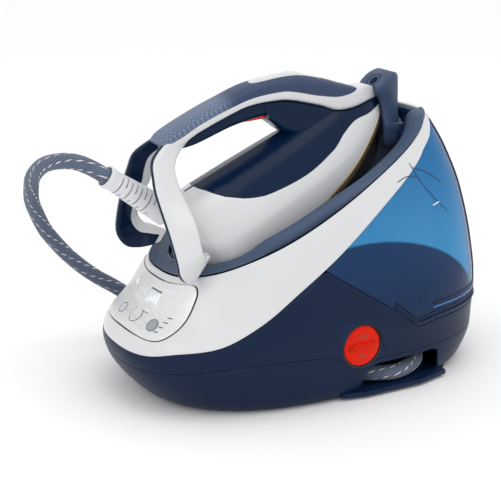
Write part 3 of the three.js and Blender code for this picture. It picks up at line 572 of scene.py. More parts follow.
for name, node, x, z, radius, rise in buttons:
    seat = front_point(x, z)
    out = Vector(front_point(x, z, 1) - seat)
    paint = grey_button if name == "eco" else silver
    knob = lathe(name + "_knob", [(radius, -3), (radius, rise), (radius - 0.5, rise + 0.45),
                                  (radius * 0.6, rise + 0.2), (radius * 0.2, rise + 0.1)], seat, out, 56)
    fit(knob, paint, name, "silver_panel", node)
    ring = lathe(name + "_ring", [(radius + 0.15, 0.2), (radius + 0.15, 0.9), (radius + 1.1, 0.9),
                                  (radius + 1.1, 0.2)], seat, out, 56, 0, closed=True)
    fit(ring, ink, "base", "silver_panel")


# ---------------------------------------------------------------- iron rest
# The rest is a navy tray that follows the iron's slope. Its raised crest keeps the iron in place,
# and the dish inside it carries three silicone pads. Two ears at the rear hold the latch's pin.
slate = moulded("slate_plastic", rgb(52, 68, 96), 0.4, 0.35, Specular_IOR_Level=0.25)
tilt = math.radians(24)
heel_y, heel_z = -110, 133
rest_front, rest_rear, rest_half = -165, 160, 98
rest_middle, rest_reach = (rest_front + rest_rear) / 2, (rest_rear - rest_front) / 2
crest_line = smooth([(-166, 0), (-108, 0), (-72, 11), (-20, 12), (30, 8), (70, 3), (105, 2), (140, 3), (162, 0)])
sole_gap = 2.8


def sole_line(y):
    """The height of the dish under the sole."""
    return heel_z + (y - heel_y) * math.tan(tilt) - sole_gap


def rest_row(inset, share, rise, on_sole=False):
    """A ring of the rest: how far in from the rim, how much of the crest, and how far above it."""
    edge_y = rest_middle - rest_reach * signed(np.cos(full_turn), 0.8)
    y = rest_middle + (edge_y - rest_middle) * (1 - inset / rest_reach)
    x = np.sign(np.round(np.sin(full_turn), 9)) * half_width_at(edge_y, rim_line(edge_y)) * (1 - inset / rest_half)
    z = sole_line(y) if on_sole else rim_line(y)
    return np.stack([x, y, z + share * crest_line(y) + rise], -1)


rest_navy_painted_light = Paint("rest_navy_painted_light", Specular_IOR_Level=0.25)
# Painted light: faces turned up are painted paler, as painted highlight, and steep faces darker, as painted shade.
up = rest_navy_painted_light.part(rest_navy_painted_light.node("ShaderNodeNewGeometry", out="Normal"), 2)
matt = rest_navy_painted_light.noise(420, 2)
rest_navy_painted_light.set("Base Color", rest_navy_painted_light.blend(up.over(0.5, 0.35), rgb(10, 27, 52), rgb(62, 79, 104)))
rest_navy_painted_light.set("Roughness", 0.4 + 0.08 * matt).relief(matt, 0.2, 0.0001)
rest_profile = [(26, 0, -4, True), (7.6, 0, -6), (7.6, 0, 0.9), (1, 0, 0.9), (0.4, 0.1, 1.2), (1.4, 0.3, 1.0),
                (3.2, 0.52, 0.8), (5.6, 0.74, 0.7), (8.4, 0.91, 0.6), (11, 0.99, 0.6), (13, 0.99, 0.6),
                (15.4, 0.95, 0.6), (17.6, 0.84, 0.4), (21, 0.5, 0.1), (26, 0, 0, True)]
rest = rings("iron_rest_moulding", [rest_row(*row) for row in rest_profile], ends=(True, True))
settle(rest)
carve(rest, prism("slot", [(118, 251), (146, 251), (147, 264), (190, 282), (190, 400), (118, 400)], -23.4, 23.4))
settle(rest, bevel=0.5)
fit(rest, rest_navy_painted_light, "base", "slate_plastic", "iron_rest")
for side in (-1, 1):
    ear = prism(f"latch_ear_{'left' if side < 0 else 'right'}",
                [(126, 238), (140, 241), (150, 247), (152, 262), (146, 270), (132, 271), (127, 264)],
                *sorted((side * 23.6, side * 31)), bevel=1.2)
    fit(ear, navy, "base", "slate_plastic")
apron_profile = smooth([(-31, 0), (-27, 0.75), (-20, 0.96), (0, 1), (20, 0.96), (27, 0.75), (31, 0)])
apron_rows = []
for x in np.linspace(-31, 31, 49):
    s = 0.3 + 0.7 * float(apron_profile(x))
    apron_rows.append([(x, -126 + (y + 126) * s, 126 + (z - 126) * s) for y, z in spline(
        [(-118, 126), (-115.4, 131), (-116.4, 138), (-121, 143.6), (-127, 147.4), (-133, 151.2), (-137, 151.4),
         (-140.4, 147), (-141, 138), (-140, 128)], 4)])
apron = solid("rest_apron_pad", apron_rows)
fit(apron, slate, "base", "slate_plastic", "rest_apron")


# ---------------------------------------------------------------- latch
# The lever at the nose locks the iron to the base. It is a hollow slate moulding on a steel pin,
# waisted under its head. A pocket in its face takes the iron's tip, under a small ringed eye.
latch_side = spline([(128, 252.5), (119, 251), (112, 254), (112, 272), (112, 291), (107.4, 302), (102.6, 309.6),
                     (103.6, 316.6), (113, 325.4), (121.6, 331), (127, 332.4), (130.6, 329), (131.4, 320),
                     (135, 306), (136.6, 292), (137.4, 277), (143, 268), (144.6, 258), (139.6, 254), (128, 252.5)], 5)
latch = prism("latch_moulding", latch_side[:-1], -22, 22)
head_plan = np.array([(-22, 90), (22, 90), (22, 117), (20, 124), (13, 138), (-13, 138), (-20, 124), (-22, 117)])
neck = [(270, 1), (276, 0.92), (286, 0.74), (301, 0.72), (311, 0.86), (320, 0.98), (326, 0.97), (331, 0.88),
        (336, 0.66)]
head = solid("keep", [[(x * share, y, z) for x, y in head_plan] for z, share in neck])
foot = prism("keep_low", [(-22, 90), (22, 90), (22, 180), (-22, 180)], 200, 274, "z")
carve(latch, carve(head, foot, "UNION"), "INTERSECT")
channel = [(200, 18.5), (266, 18.5), (284, 12.4), (303, 11.6)]
carve(latch, solid("nose_channel", [[(-half, 60, z), (half, 60, z), (half, 117, z), (half * 0.6, 129, z),
                                     (-half * 0.6, 129, z), (-half, 117, z)] for z, half in channel]))
carve(latch, prism("nose_pocket", [(60, 296), (119, 296), (119, 308), (112, 315.5), (60, 322)], -11.6, 11.6))
slope_out, slope_at = Vector((0, -0.73, 0.68)), Vector((0, 110.6, 320.6))
carve(latch, lathe("eye_bore", [(5.6, -14), (5.6, 12)], slope_at, slope_out, bevel=0))
carve(latch, lathe("eye_groove", [(8.6, -1.5), (8.6, 8), (9.8, 8), (9.8, -1.5)], slope_at, slope_out,
                   bevel=0, closed=True))
carve(latch, lathe("pin_bore", [(3.3, -100), (3.3, 100)], (0, 137, 262), (1, 0, 0), bevel=0))
settle(latch, bevel=0.9)
fit(latch, slate, "latch", "slate_plastic", "latch_lever")
# Painted shade: a black disc deep in the eye's bore stands in for the shade inside the hole.
eye_shade_disc = lathe("latch_eye_shade_disc", [(5.7, -9), (5.7, -7.4), (2.5, -7.8)], slope_at, slope_out, 40, 0.2)
fit(eye_shade_disc, black, "latch", "slate_plastic")
thumb = prism("latch_thumb_rib", [(-3, 0), (3, 0), (0, 4.4)], 0, 0.9, "z", 0.2)
thumb.rotation_euler = (math.radians(42), 0, 0)
thumb.location = (0, 0.1206, 0.3288)
fit(thumb, navy, "latch", "slate_plastic")


# ---------------------------------------------------------------- water tank
# The tank is blown in clear blue plastic and slides out to the rear. Its wall is painted darker where
# the tunnel over the pump lies behind it, as painted shade seen through it. It has mould lines, a level mark and a
# bright bottom rail.
tank_blue = Paint("tank_blue", Specular_IOR_Level=0.25, Coat_Weight=0.08, Coat_Roughness=0.05, IOR=1.45)
height = tank_blue.part(tank_blue.place(), 2)
tunnel_y, tunnel_z, tunnel_reach, tunnel_rise = 0.03, 0.072, 0.158, 0.097
along = (tank_blue.part(tank_blue.place(), 1) - tunnel_y) * (1 / tunnel_reach)
above = (height - tunnel_z) * (1 / tunnel_rise)
open_water = (along * along + above * above).over(1.0, 0.035)
clear = tank_blue.blend(height.over(0.2, 0.09), rgb(64, 150, 204), rgb(24, 108, 168))
# Painted shade: inside the tunnel's outline the wall is painted dark navy, where the tunnel shows through, and
# rim_shade paints it darker towards grazing edges.
shaded = tank_blue.blend(height.over(0.12, 0.05), rgb(10, 40, 78), rgb(10, 52, 96))
rim_shade = tank_blue.node("ShaderNodeLayerWeight", None, {"Blend": 0.5}, "Facing").over(0.74, 0.14)
tank_blue.set("Base Color", tank_blue.blend(rim_shade, tank_blue.blend(open_water, shaded, clear), rgb(8, 44, 88)))
tank_blue.set("Roughness", 0.1 + 0.06 * tank_blue.noise(7, 2))
tank_blue.set("Alpha", 0.8 - 0.1 * open_water + 0.16 * rim_shade).relief(tank_blue.noise(22, 1), 0.08, 0.001)
tank_blue.material.surface_render_method = "BLENDED"
turns = np.linspace(0.05, math.pi - 0.05, 4000)
tank_start = turns[np.argmax(meets(turns, cover_line) - meets(turns, tank_line) > 2.2)]
tank_turn = np.linspace(tank_start, 2 * math.pi - tank_start, 221)
wall_rows = shell_rows(tank_turn, lambda y: tank_line(y) + gap, lambda y: cover_line(y) - gap / 2, 34, 0.2)
tank = settle(rings("water_tank_shell", wall_rows, closed=False), thickness=2.4, bevel=0.6)
floor_middle, floor_z = 116, 74.6
floor_edge = hull_point(np.linspace(math.pi / 2, 1.5 * math.pi, 90), 76.0, 4)
tank_floor = rings("water_tank_floor", [[(x * s, floor_middle + (y - floor_middle) * s, floor_z)
                                         for x, y, z in floor_edge] for s in (0.2, 1)], closed=False)
fit(tank, tank_blue, "tank", "tank_blue", "water_tank")
fit(settle(tank_floor, thickness=1.6), tank_blue, "tank", "tank_blue")


def side_point(y, z, lift):
    """A point on the right side of the housing."""
    return np.array([float(half_width_at(y, z)) + lift, y, z])


def bead(name, line, radius, paint, body, slot, sides=12):
    """A thin round rib along a line."""
    return fit(solid(name, tube_rows(np.array(line, float), radius, sides)), paint, body, slot)


rail_blue = moulded("rail_blue", rgb(28, 96, 160), 0.18, Coat_Weight=0.4)
mould_blue = moulded("mould_blue", rgb(10, 50, 98), 0.3)
rail_turn = np.linspace(tank_start + 0.55, 2 * math.pi - tank_start - 0.55, 150)
rail_up, groove_up = 15, 19.5
rail_height = meets(rail_turn, lambda y: tank_line(y) + rail_up)
bead("tank_rail", hull_point(rail_turn, rail_height, -0.1), 1.0, rail_blue, "tank", "tank_blue")
groove_height = meets(rail_turn, lambda y: tank_line(y) + groove_up)
bead("tank_rail_upper", hull_point(rail_turn, groove_height, 0.3), 1.4, navy, "tank", "tank_blue")
for side in (-1, 1):
    tag = "left" if side < 0 else "right"
    mirror = np.array([side, 1, 1.0])
    mould_lines = [[(84, 226), (98, 230), (112, 228)], [(104, 243), (116, 222), (132, 203), (150, 186)],
                   [(108, 238), (126, 231), (146, 218)]]
    for k, line in enumerate(mould_lines):
        path = [side_point(y, z, -0.15) * mirror for y, z in spline(line, 6)]
        bead(f"tank_mould_line_{tag}_{k + 1}", path, 0.6, mould_blue, "tank", "tank_blue")
    mark = [side_point(y, 196 + 0.2 * (y - 130), 0.15) * mirror for y in np.linspace(128, 138, 6)]
    bead(f"tank_level_mark_{tag}", mark, 0.6, mark_white, "tank", "tank_blue")

corner_turn = 2.612
for tag, turned in (("right", corner_turn), ("left", 2 * math.pi - corner_turn)):
    corner_z = np.linspace(84, 280, 60)
    bead(f"tank_corner_rib_{tag}", hull_point(turned + 0 * corner_z, corner_z, 0.4), 1.5, navy, "tank", "tank_blue")
ledge_turn = np.linspace(tank_start + 0.3, 2 * math.pi - tank_start - 0.3, 180)
for k, (drop, out) in enumerate(((4.5, -0.3), (9.5, 0.1))):
    bead(f"tank_ledge_{k + 1}", hull_point(ledge_turn, meets(ledge_turn, lambda y: tank_line(y) + drop), out),
         1.7 - 0.5 * k, navy, "tank", "tank_blue")

hood_top = smooth([(-28, 134), (-16, 152), (4, 166), (28, 172), (60, 171), (96, 161), (122, 143), (140, 116),
                   (150, 84)])
hood_half, hood_base = 89, 62
hood_rows = []
arc = np.linspace(0, math.pi, 41)
for y in np.concatenate([np.linspace(-28, 0, 8), np.linspace(8, 120, 14), np.linspace(126, 150, 9)]):
    rise = float(hood_top(y)) - hood_base
    hood_rows.append([(hood_half * signed(np.cos(a), 0.5), y, hood_base + rise * signed(np.sin(a), 0.6))
                      for a in arc])
hood = settle(rings("pump_hood", hood_rows, closed=False), thickness=2.5)
fit(hood, navy, "base", "navy_shell", "boiler_hood")

liner_top = smooth([(-22, 164), (12, 172), (52, 170), (85, 158), (127, 139), (153, 121), (168, 104), (180, 85),
                    (187, 76)])
liner_base = 75.5
liner_rows = []
for y in np.concatenate([np.linspace(-20, 110, 24), np.linspace(115, 187, 19)]):
    top, half = float(liner_top(y)), min(101, float(half_width_at(y, 110)) - 9)
    liner_rows.append([(half * signed(np.cos(a), 0.5), y,
                        liner_base + (top - liner_base) * signed(np.sin(a), 0.5)) for a in arc])
liner_blue = moulded("liner_blue", rgb(6, 24, 50), 0.3)
liner = settle(rings("tank_tunnel_wall", liner_rows, closed=False, ends=(False, True)), thickness=-1.2)
fit(liner, liner_blue, "tank", "tank_blue")
for k in range(3):
    rib_start, up_by = 20 + 42 * k, 0.42 + 0.1 * k
    rib = [(101.6 * signed(np.cos(up_by), 0.5), y,
            liner_base + (float(liner_top(y)) - liner_base) * signed(np.sin(up_by), 0.5))
           for y in np.linspace(rib_start, rib_start + 30, 8)]
    bead(f"tank_tunnel_rib_{k + 1}", rib, 1.5, liner_blue, "tank", "tank_blue")


def rear_point(x, z, lift):
    """A point on the rear of the housing, lifted off it."""
    front, rear, half = hull_front(z), hull_rear(z), hull_half(z)
    share = (1 - abs(x / half) ** rear_power) ** (1 / rear_power)
    return np.array([x, (front + rear) / 2 + (rear - front) / 2 * share + lift, z])


spine_half = smooth([(96, 15), (130, 20), (190, 27), (230, 33), (286, 34)])
spine_rows = [[rear_point(s * float(spine_half(z)), z, 1.6 - 1.0 * abs(s) ** 6) for s in np.linspace(-1, 1, 25)]
              for z in np.linspace(96, 284, 44)]
spine = settle(rings("tank_spine", spine_rows, closed=False), thickness=2.6)
settle(spine, bevel=0.6)
fit(spine, navy, "tank", "navy_shell", "tank_handle")
lid_axis = (0, math.cos(0.5), math.sin(0.5))
lid = lathe("filler_lid_disc", [(16.4, -4), (16.4, 4.4), (15.4, 6), (9, 6.6), (8, 5.2), (3, 5)],
            (0, 204, 196), lid_axis)
fit(lid, navy, "filler_lid", "navy_shell", "tank_lid")


# ---------------------------------------------------------------- descaling cap
# The orange cap screws into the right side and draws out the scale collector. Its grip bar is
# moulded on, and a black gap rings it.
orange = moulded("cap_orange", rgb(216, 30, 0), 0.3, lift=1.1, Specular_IOR_Level=0.12)
cap = lathe("cap_disc", [(12.4, 117), (12.4, 129.2), (22.8, 129.2), (22.8, 132.4), (21.6, 133.3), (14, 133.6),
                         (6, 133.7)], (0, cap_y, cap_z), (1, 0, 0), 96)
fit(cap, orange, "collector_cap", "cap_orange", "calc_cap")
grip_rows = []
for t in np.linspace(-1, 1, 33):
    end = math.sqrt(max(0.02, 1 - abs(t) ** 6))
    half, rise = 4.6 * end + 0.3, 3.1 * end
    grip_rows.append([(132.6 + rise * max(0, math.cos(a)) ** 0.6, cap_y + 19.4 * t,
                       cap_z + 0.8 * t + half * signed(math.sin(a), 0.8))
                      for a in np.linspace(-math.pi / 2, math.pi / 2, 13)])
grip_bar = settle(rings("cap_grip_bar", grip_rows, closed=False), thickness=-0.0001)
fit(grip_bar, orange, "collector_cap", "cap_orange")
for k, z in enumerate((cap_z + 10.5, cap_z - 12)):
    mark = prism(f"cap_mark_{k + 1}", [(cap_y - 7 + 1.5 * k, z - 1), (cap_y + 7 - 3 * k, z - 1),
                                      (cap_y + 4 - k, z + 2.6), (cap_y - 4, z + 2.6)], 133.2, 134.0, bevel=0.2)
    fit(mark, moulded(f"cap_print_{k + 1}", rgb(150, 40, 10), 0.4), "collector_cap", "cap_orange")


# ---------------------------------------------------------------- soleplate and skirt
# The bronze coated soleplate is bolted under a cast chamber, which the white skirt hides. The
# skirt is one moulding, and its upper edge dips along the navy body.
iron_hull = [(0, 3, 258, 57), (7, 0, 260, 58), (36, -5, 268, 55.5), (52, -8, 273, 50), (69, -9, 275.5, 41),
             (79, -6, 270, 33.5), (86, 0, 263, 23), (90, 8, 255, 11), (91.4, 16, 246, 2)]
iron_top = 91.4
iron_rear, iron_front, iron_half = (smooth(iron_hull, k) for k in (1, 2, 3))
heel_reach = 60


def on_iron(u, w, x):
    """From the iron's own frame, along the sole and up from it, to the frame of the base."""
    u, w, x = np.broadcast_arrays(np.asarray(u, float), np.asarray(w, float), np.asarray(x, float))
    return np.stack([x, heel_y + u * math.cos(tilt) - w * math.sin(tilt),
                     heel_z + u * math.sin(tilt) + w * math.cos(tilt)], -1)


def iron_local(angle, w, inset=0.0):
    """A point of the iron's outline at height w, as its place along the sole and across it."""
    rear, front, half = iron_rear(w) + inset, iron_front(w) - 1.6 * inset, iron_half(w) - inset
    c, s = np.cos(angle), np.sin(angle)
    back = c > 0
    u = np.where(back, heel_reach - (heel_reach - rear) * np.abs(c) ** 0.4,
                 heel_reach + (front - heel_reach) * np.abs(c))
    x = half * np.where(back, signed(s, 0.4), np.sign(np.round(s, 9)) * np.maximum(0, 1 - c ** 2) ** 0.62)
    return u, x


def iron_row(w, inset=0.0):
    """A ring of the iron at height w above the sole."""
    u, x = iron_local(iron_turn, np.asarray(w, float), inset)
    return on_iron(u, w, x)


def iron_meets(seam):
    """The height where the iron's side meets a seam drawn along the sole."""
    low, high = np.zeros(len(iron_turn)), np.full(len(iron_turn), iron_top)
    for _ in range(40):
        middle = (low + high) / 2
        under = middle < seam(iron_local(iron_turn, middle)[0])
        low, high = np.where(under, middle, low), np.where(under, high, middle)
    return (low + high) / 2


iron_turn = np.arange(224) * 2 * math.pi / 224
bronze = Paint("sole_metal", Metallic=0.85, Specular_IOR_Level=0.5)
layer = bronze.part(bronze.place(), 2) - bronze.part(bronze.place(), 1) * math.tan(tilt)
level = layer - (heel_z - heel_y * math.tan(tilt)) * 0.001
band_mask = level.over(0.0022, 0.0003) - level.over(0.0034, 0.0003)
scratch = bronze.noise(1, 3, bronze.stretched(60, 60, 900))
metal = bronze.blend(scratch, rgb(168, 132, 78), rgb(212, 178, 122))
bronze.set("Base Color", bronze.blend(band_mask, metal, rgb(46, 40, 36)))
bronze.set("Roughness", 0.28 + 0.14 * scratch).relief(scratch, 0.2, 0.0001)
nose_rise = smooth([(90, 0), (120, 3), (150, 8), (180, 14), (205, 21), (225, 29), (245, 38), (262, 44)])


def raised_row(w, inset=0.0):
    """A ring of the sole: its front turns up towards the nose."""
    return iron_row(w + nose_rise(iron_local(iron_turn, w + 0 * iron_turn)[0]), inset)


sole_profile = ((0, 1.6), (0.5, 0.3), (1.2, 0), (2.3, 0), (2.5, 0.5), (3.0, 0.5), (3.2, 0), (6.2, 0), (6.8, 0.4),
                (7, 1.4))
sole_rows = [raised_row(w, inset) for w, inset in sole_profile]
sole = solid("soleplate_layers", sole_rows)
fit(sole, bronze, "iron", "sole_metal", "soleplate")
for k, w in enumerate((2.8, 5.2)):
    line = raised_row(w, 0.15)
    bead(f"sole_line_{k + 1}", np.vstack([line, line[:1]]), 0.55, black, "iron", "sole_metal", 8)

body_edge = smooth([(-40, 99), (18, 97), (31, 88), (54, 70), (89, 57), (141, 52), (183, 56), (205, 63), (224, 66),
                    (250, 61), (300, 57)])
nose_top = smooth([(-60, 101), (192, 101), (215, 82), (228, 76), (243, 72), (260, 69.5), (290, 66)])
skirt_high = iron_meets(lambda u: np.where(u < 34, 200.0, body_edge(u) - gap / 2))
skirt_low = 7.5 + nose_rise(iron_local(iron_turn, 7.5 + 0 * iron_turn)[0])
skirt_rows = [iron_row(skirt_low + (skirt_high - skirt_low) * t) for t in np.linspace(0, 1, 40)]
skirt_rows.append(skirt_rows[-1] * np.where(skirt_high[:, None] > iron_top - 0.1, (0, 1, 1), (1, 1, 1)))
skirt = settle(rings("iron_skirt", skirt_rows), thickness=2.5, bevel=0.6)
fit(skirt, white, "iron", "white_shell", "skirt")


# ---------------------------------------------------------------- iron body
# The glossy navy body sits in the skirt and rises into the pillar that carries the handle's front.
# Its top is a saddle, so that fingers pass under the handle.
gloss = moulded("navy_gloss", rgb(5, 28, 56), 0.24, 0.12, Coat_Weight=0.02, Coat_Roughness=0.06,
                Specular_IOR_Level=0.14)
low_edge = iron_meets(lambda u: body_edge(u) + gap / 2)
high_edge = iron_meets(lambda u: nose_top(u) - gap)
high_edge = np.maximum(high_edge, low_edge + 0.2)
body_rows = [iron_row(low_edge + (high_edge - low_edge) * t) for t in np.linspace(0, 1, 20)]
roof = body_rows[-1]
spine_line = np.stack([0 * roof[:, 0], roof[:, 1], roof[:, 2]], -1)
body_rows += [roof + (spine_line - roof) * s + np.array([0, -math.sin(tilt), math.cos(tilt)]) * r
              for s, r in ((0.5, 0.2), (1.0, 0.3))]
saddle = settle(rings("iron_body", body_rows), thickness=2.2)
fit(saddle, gloss, "iron", "navy_shell", "body_shell")


def iron_prism(name, outline, low, high, bevel=0):
    """A side outline in the iron's frame, run across it."""
    world = on_iron([p[0] for p in outline], [p[1] for p in outline], 0)
    return prism(name, [(p[1], p[2]) for p in world], low, high, "x", bevel)


nose_half = smooth([(-60, 18.5), (190, 18.5), (236, 14.5), (266, 8), (277, 2.5)])
band_low = smooth([(4, 146), (25, 144.5), (52, 147), (104, 145), (151, 131), (194, 101), (215, 82), (228, 76),
                   (243, 72), (260, 69.5), (277, 66)])
band_high = smooth([(4, 158), (30, 156.5), (57, 158), (109, 155), (157, 142), (200, 113), (223, 99), (236, 95),
                    (248, 93), (258, 90), (266, 85), (272, 78), (277, 68)])


def bar(name, stations, power_x=0.5, power_w=0.5, sides=40):
    """A rounded bar: stations are (u, lowest w, highest w, half width)."""
    rows = []
    for u, low, high, half in stations:
        turn = np.arange(sides) * 2 * math.pi / sides
        rows.append(on_iron(u, (low + high) / 2 + (high - low) / 2 * signed(np.sin(turn), power_w),
                            half * signed(np.cos(turn), power_x)))
    return solid(name, rows)


window_top = smooth([(26, 141), (36, 138), (49, 135.5), (87, 132), (117, 126), (136, 120.5), (142, 116)])
under_stations = [(u, float(window_top(u)), float(band_low(u)) + 2, 16.5 - 2.5 * max(0, (40 - u) / 14))
                  for u in np.linspace(27, 140, 40)]
fit(bar("handle_underside", under_stations, 0.45, 0.7), gloss, "iron", "navy_shell")
pillar_stations = []
for u in np.linspace(133, 268, 46):
    lowest = 116 - 22 * min(1, (u - 133) / 12) if u < 145 else 94 - 34 * min(1, (u - 145) / 30)
    pillar_stations.append((u, lowest, float(band_low(u)) + 1, float(nose_half(u)) - 0.8))
fit(bar("handle_pillar", pillar_stations, 0.4, 0.5), gloss, "iron", "navy_shell")


# ---------------------------------------------------------------- handle frame
# The white frame is one glossy moulding: a band along the handle that splits at the rear into two
# bowed heel legs. Navy linings are moulded onto the inner rear face of each leg.
band_stations = [(u, float(band_low(u)), float(band_high(u)), float(nose_half(u)) + 0.2)
                 for u in np.linspace(14, 276.4, 110)]
fit(bar("handle_band", band_stations, 0.28, 0.5, 56), white, "iron", "white_shell", "handle_frame")
leg_stations = [  # outer edge, inner edge, distance from the middle
    (30, 157, 40, 145, 11), (24, 156.4, 30, 142, 12.5), (8, 155.6, 18, 138, 17.5), (-10, 149.5, 8, 131, 25),
    (-20, 135, 2, 118, 34), (-27, 121, -1, 105, 43), (-39, 88, -9, 86, 66), (-48, 63, -18, 66, 79),
    (-51, 50, -19, 56, 79), (-48, 38, -17, 50, 75), (-38, 32, -12, 46, 69), (-28, 31, -8, 42, 60),
    (-20, 32, -6, 41, 52)]
for side in (-1, 1):
    tag = "left" if side < 0 else "right"
    spans = spline(leg_stations, 8)
    rows, lining = [], []
    turn = np.arange(36) * 2 * math.pi / 36
    for ou, ow, iu, iw, x in spans:
        cu, cw, hu, hw = (ou + iu) / 2, (ow + iw) / 2, (ou - iu) / 2, (ow - iw) / 2
        thick = 5.6 if x > 20 else 4.6
        c, s = signed(np.cos(turn), 0.42), signed(np.sin(turn), 0.55)
        rows.append(on_iron(cu + hu * c, cw + hw * c, side * (x + thick * s)))
        share = np.clip(0.36 + 0.70 * c, -0.34, 1.06)
        lining.append(on_iron(cu + hu * share, cw + hw * share, side * (x - 2.2 + 4.2 * s)))
    fit(solid(f"heel_leg_{tag}", rows), white, "iron", "white_shell")
    fit(solid(f"heel_leg_lining_{tag}", lining[3:-6]), gloss, "iron", "navy_shell", f"leg_strip_{tag}")


# ---------------------------------------------------------------- grip
# The top of the handle is a soft slate grip, with a fine pattern of raised diamonds. It carries a
# chrome insert with the boost key, and the red trigger hangs under it.
grip_pad = Paint("slate_grip", Specular_IOR_Level=0.4)
spot = grip_pad.place()
diamond_scale = 95
first = grip_pad.wave(diamond_scale, grip_pad.stretched(1.3, 1, 0.5), "DIAGONAL")
second = grip_pad.wave(diamond_scale, grip_pad.stretched(-1.3, 1, 0.5), "DIAGONAL")
diamond = first * second
cloud = grip_pad.noise(12, 3)
ahead = grip_pad.part(spot, 1).over(-0.088, 0.012)
shade = grip_pad.blend(ahead, grip_pad.blend(cloud, rgb(72, 88, 114), rgb(88, 104, 130)), rgb(40, 57, 90))
grip_pad.set("Base Color", grip_pad.blend(diamond * (1 - ahead) * 0.5, shade, rgb(140, 153, 172)))
grip_pad.set("Roughness", 0.5 - 0.1 * diamond).relief(diamond * (1 - ahead) + 0.4 * cloud, 0.5, 0.0004)
handle_top = smooth([(14, 161), (24, 163.4), (45, 164.5), (71, 164.5), (96, 163.5), (123, 162), (150, 156),
                     (183, 144), (217, 120), (241, 99.5), (250, 94.6)])
turn = np.arange(48) * 2 * math.pi / 48
rows = []
for u in np.linspace(9, 250, 110):
    low, high, half = float(band_high(u)) - 3, float(handle_top(u)), float(nose_half(u)) + 0.1
    high = max(high, low + 3.4)
    end = min(1, ((u - 8) / 8) ** 0.5, ((251.5 - u) / 12) ** 0.5)
    rows.append(on_iron(u, np.where(np.sin(turn) > 0, low + (high - low) * end * np.abs(np.sin(turn)) ** 0.55, low),
                        half * (0.8 + 0.2 * end) * signed(np.cos(turn), 0.72)))
fit(solid("handle_grip", rows), grip_pad, "iron", "slate_plastic", "grip")
chrome = Paint("chrome_trim", Metallic=1.0)
smudge = chrome.noise(16, 3)
chrome.set("Base Color", chrome.blend(smudge, rgb(196, 200, 204), rgb(232, 234, 236)))
chrome.set("Roughness", 0.1 + 0.14 * smudge).relief(chrome.noise(260, 2), 0.05, 0.0001)
rows = []
for u in np.linspace(133, 214, 40):
    t = (u - 133) / 81
    half = 9.8 * max(0.04, 1 - abs(2 * t - 1) ** 5) ** 0.4
    rows.append(on_iron(u, float(handle_top(u)) + 1.1 - 1.3 * np.abs(np.linspace(-1, 1, 17)) ** 4,
                        half * np.linspace(-1, 1, 17)))
bezel = settle(rings("chrome_insert", rows, closed=False), thickness=3)
fit(bezel, chrome, "iron", "chrome_trim", "chrome_bezel")
rows = []
for u in np.linspace(172, 194, 23):
    t = (u - 183) / 11
    half = 6.4 * max(0.05, 1 - abs(t) ** 4) ** 0.4
    line = float(handle_top(u)) + 1.2
    rows.append(on_iron(u, line + 1.8 * np.maximum(0, (1 - abs(t) ** 3)) * (1 - np.linspace(-1, 1, 13) ** 4)
                        - 2.2 * (np.abs(np.linspace(-1, 1, 13)) > 0.99), half * np.linspace(-1, 1, 13)))
boost = settle(rings("boost_key", rows, closed=False), thickness=3)
fit(boost, silver, "boost", "silver_panel", "boost_button")


# ---------------------------------------------------------------- trigger
# The red steam trigger turns on a steel pin in the pillar, and springs back by itself.
red = moulded("trigger_red", rgb(226, 48, 36), 0.32, lift=1.15)
trigger_side = spline([(106, 134), (105.6, 130), (109, 126), (122, 121), (138, 115.6), (142.4, 117), (141, 122),
                       (135, 127.4), (122, 133.4), (112, 138), (106, 134)], 4)[:-1]
trigger = iron_prism("steam_trigger_lever", [tuple(p) for p in trigger_side], -7, 7, 1.6)
fit(trigger, red, "trigger", "trigger_red", "steam_trigger")


# ---------------------------------------------------------------- hose boot
# A white rubber boot keeps the hose from kinking. Rows of staggered slots let it bend, and the
# sleeve enters through the flared ring at its end.
boot_start, boot_end = on_iron(-13, 82, 0), on_iron(-55, 153.5, 0)
boot_axis = (boot_end - boot_start) / np.linalg.norm(boot_end - boot_start)
across_axis = np.array([1.0, 0, 0])
third_axis = np.cross(boot_axis, across_axis)
boot_sides, boot_steps = 64, 120
boot_length = float(np.linalg.norm(boot_end - boot_start))
rows = []
for k in range(boot_steps + 1):
    t = k / boot_steps
    radius = 15.2 - 3.9 * min(1, t * 1.15) + (1.0 if t > 0.93 else 0)
    ring_middle = boot_start + boot_axis * boot_length * t
    rows.append([ring_middle + radius * (math.cos(a) * across_axis + math.sin(a) * third_axis)
                 for a in np.arange(boot_sides) * 2 * math.pi / boot_sides])
boot = rings("hose_boot_sleeve", rows)
work = bmesh.new()
work.from_mesh(boot.data)
slots = []
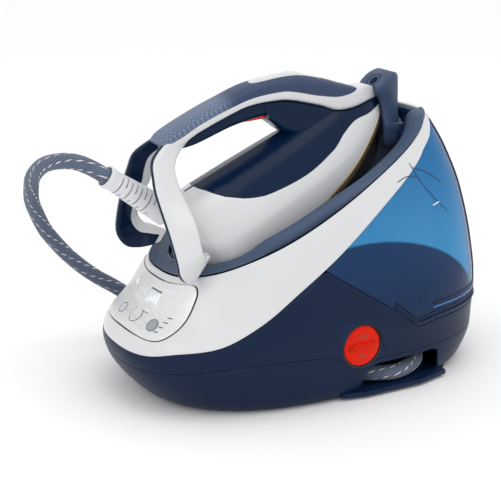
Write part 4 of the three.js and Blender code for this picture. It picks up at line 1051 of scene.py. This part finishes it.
for face in work.faces:
    step, turn_at = divmod(face.index, boot_sides)
    row, inside = divmod(step - 34, 9)
    if 0 <= row < 8 and inside < 2 and (turn_at + (16 if row % 2 else 0)) % 32 < 24:
        slots.append(face)
bmesh.ops.delete(work, geom=slots, context="FACES")
work.to_mesh(boot.data)
work.free()
rubber_white = moulded("rubber_white", rgb(220, 221, 224), 0.42, 0.3, lift=1.02)
fit(settle(boot, thickness=1.8, clean=True), rubber_white, "iron", "white_shell", "hose_boot")
core = tube_rows(np.array([boot_start + boot_axis * d for d in (4, boot_length - 6)]), 8.2, 32)
fit(solid("hose_core", core), black, "iron", "black_plastic")


# ---------------------------------------------------------------- hidden works
# The boiler, pump, valve, pipes, board and feet keep the shapes they have, in their own metals
# and plastics.
def bare_metal(name, dark, light, gloss, scale):
    """Unpainted metal with a drawn grain, paler on its edges."""
    paint = Paint(name, Metallic=0.9)
    grain = paint.noise(scale, 4, paint.stretched(1, 1, 6))
    paint.set("Base Color", paint.blend(paint.wear() * 0.4, paint.blend(grain, dark, light), light))
    return paint.set("Roughness", gloss + 0.2 * grain).relief(grain, 0.3, 0.0002)


finishes = {
    "white_shell": white, "navy_shell": navy, "slate_plastic": slate, "black_plastic": black, "silver_panel": silver,
    "chrome_trim": chrome, "cap_orange": orange, "trigger_red": red, "tank_blue": tank_blue, "woven_sleeve": woven,
    "sole_metal": bronze,
    "steel": bare_metal("steel", rgb(150, 154, 158), rgb(198, 201, 204), 0.25, 60),
    "chamber_metal": bare_metal("chamber_metal", rgb(44, 46, 50), rgb(78, 80, 84), 0.5, 140),
    "valve_brass": bare_metal("valve_brass", rgb(160, 128, 62), rgb(208, 176, 104), 0.25, 80),
    "board_green": moulded("board_green", rgb(34, 96, 54), 0.45, 0.5),
    "rubber": moulded("rubber", rgb(28, 30, 34), 0.7, 0.6)}
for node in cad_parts.values():
    if not node.hide_render:
        for place in node.material_slots:
            finish = place.material.name.split(".")[0]
            if finish in finishes:
                place.material = finishes[finish].material
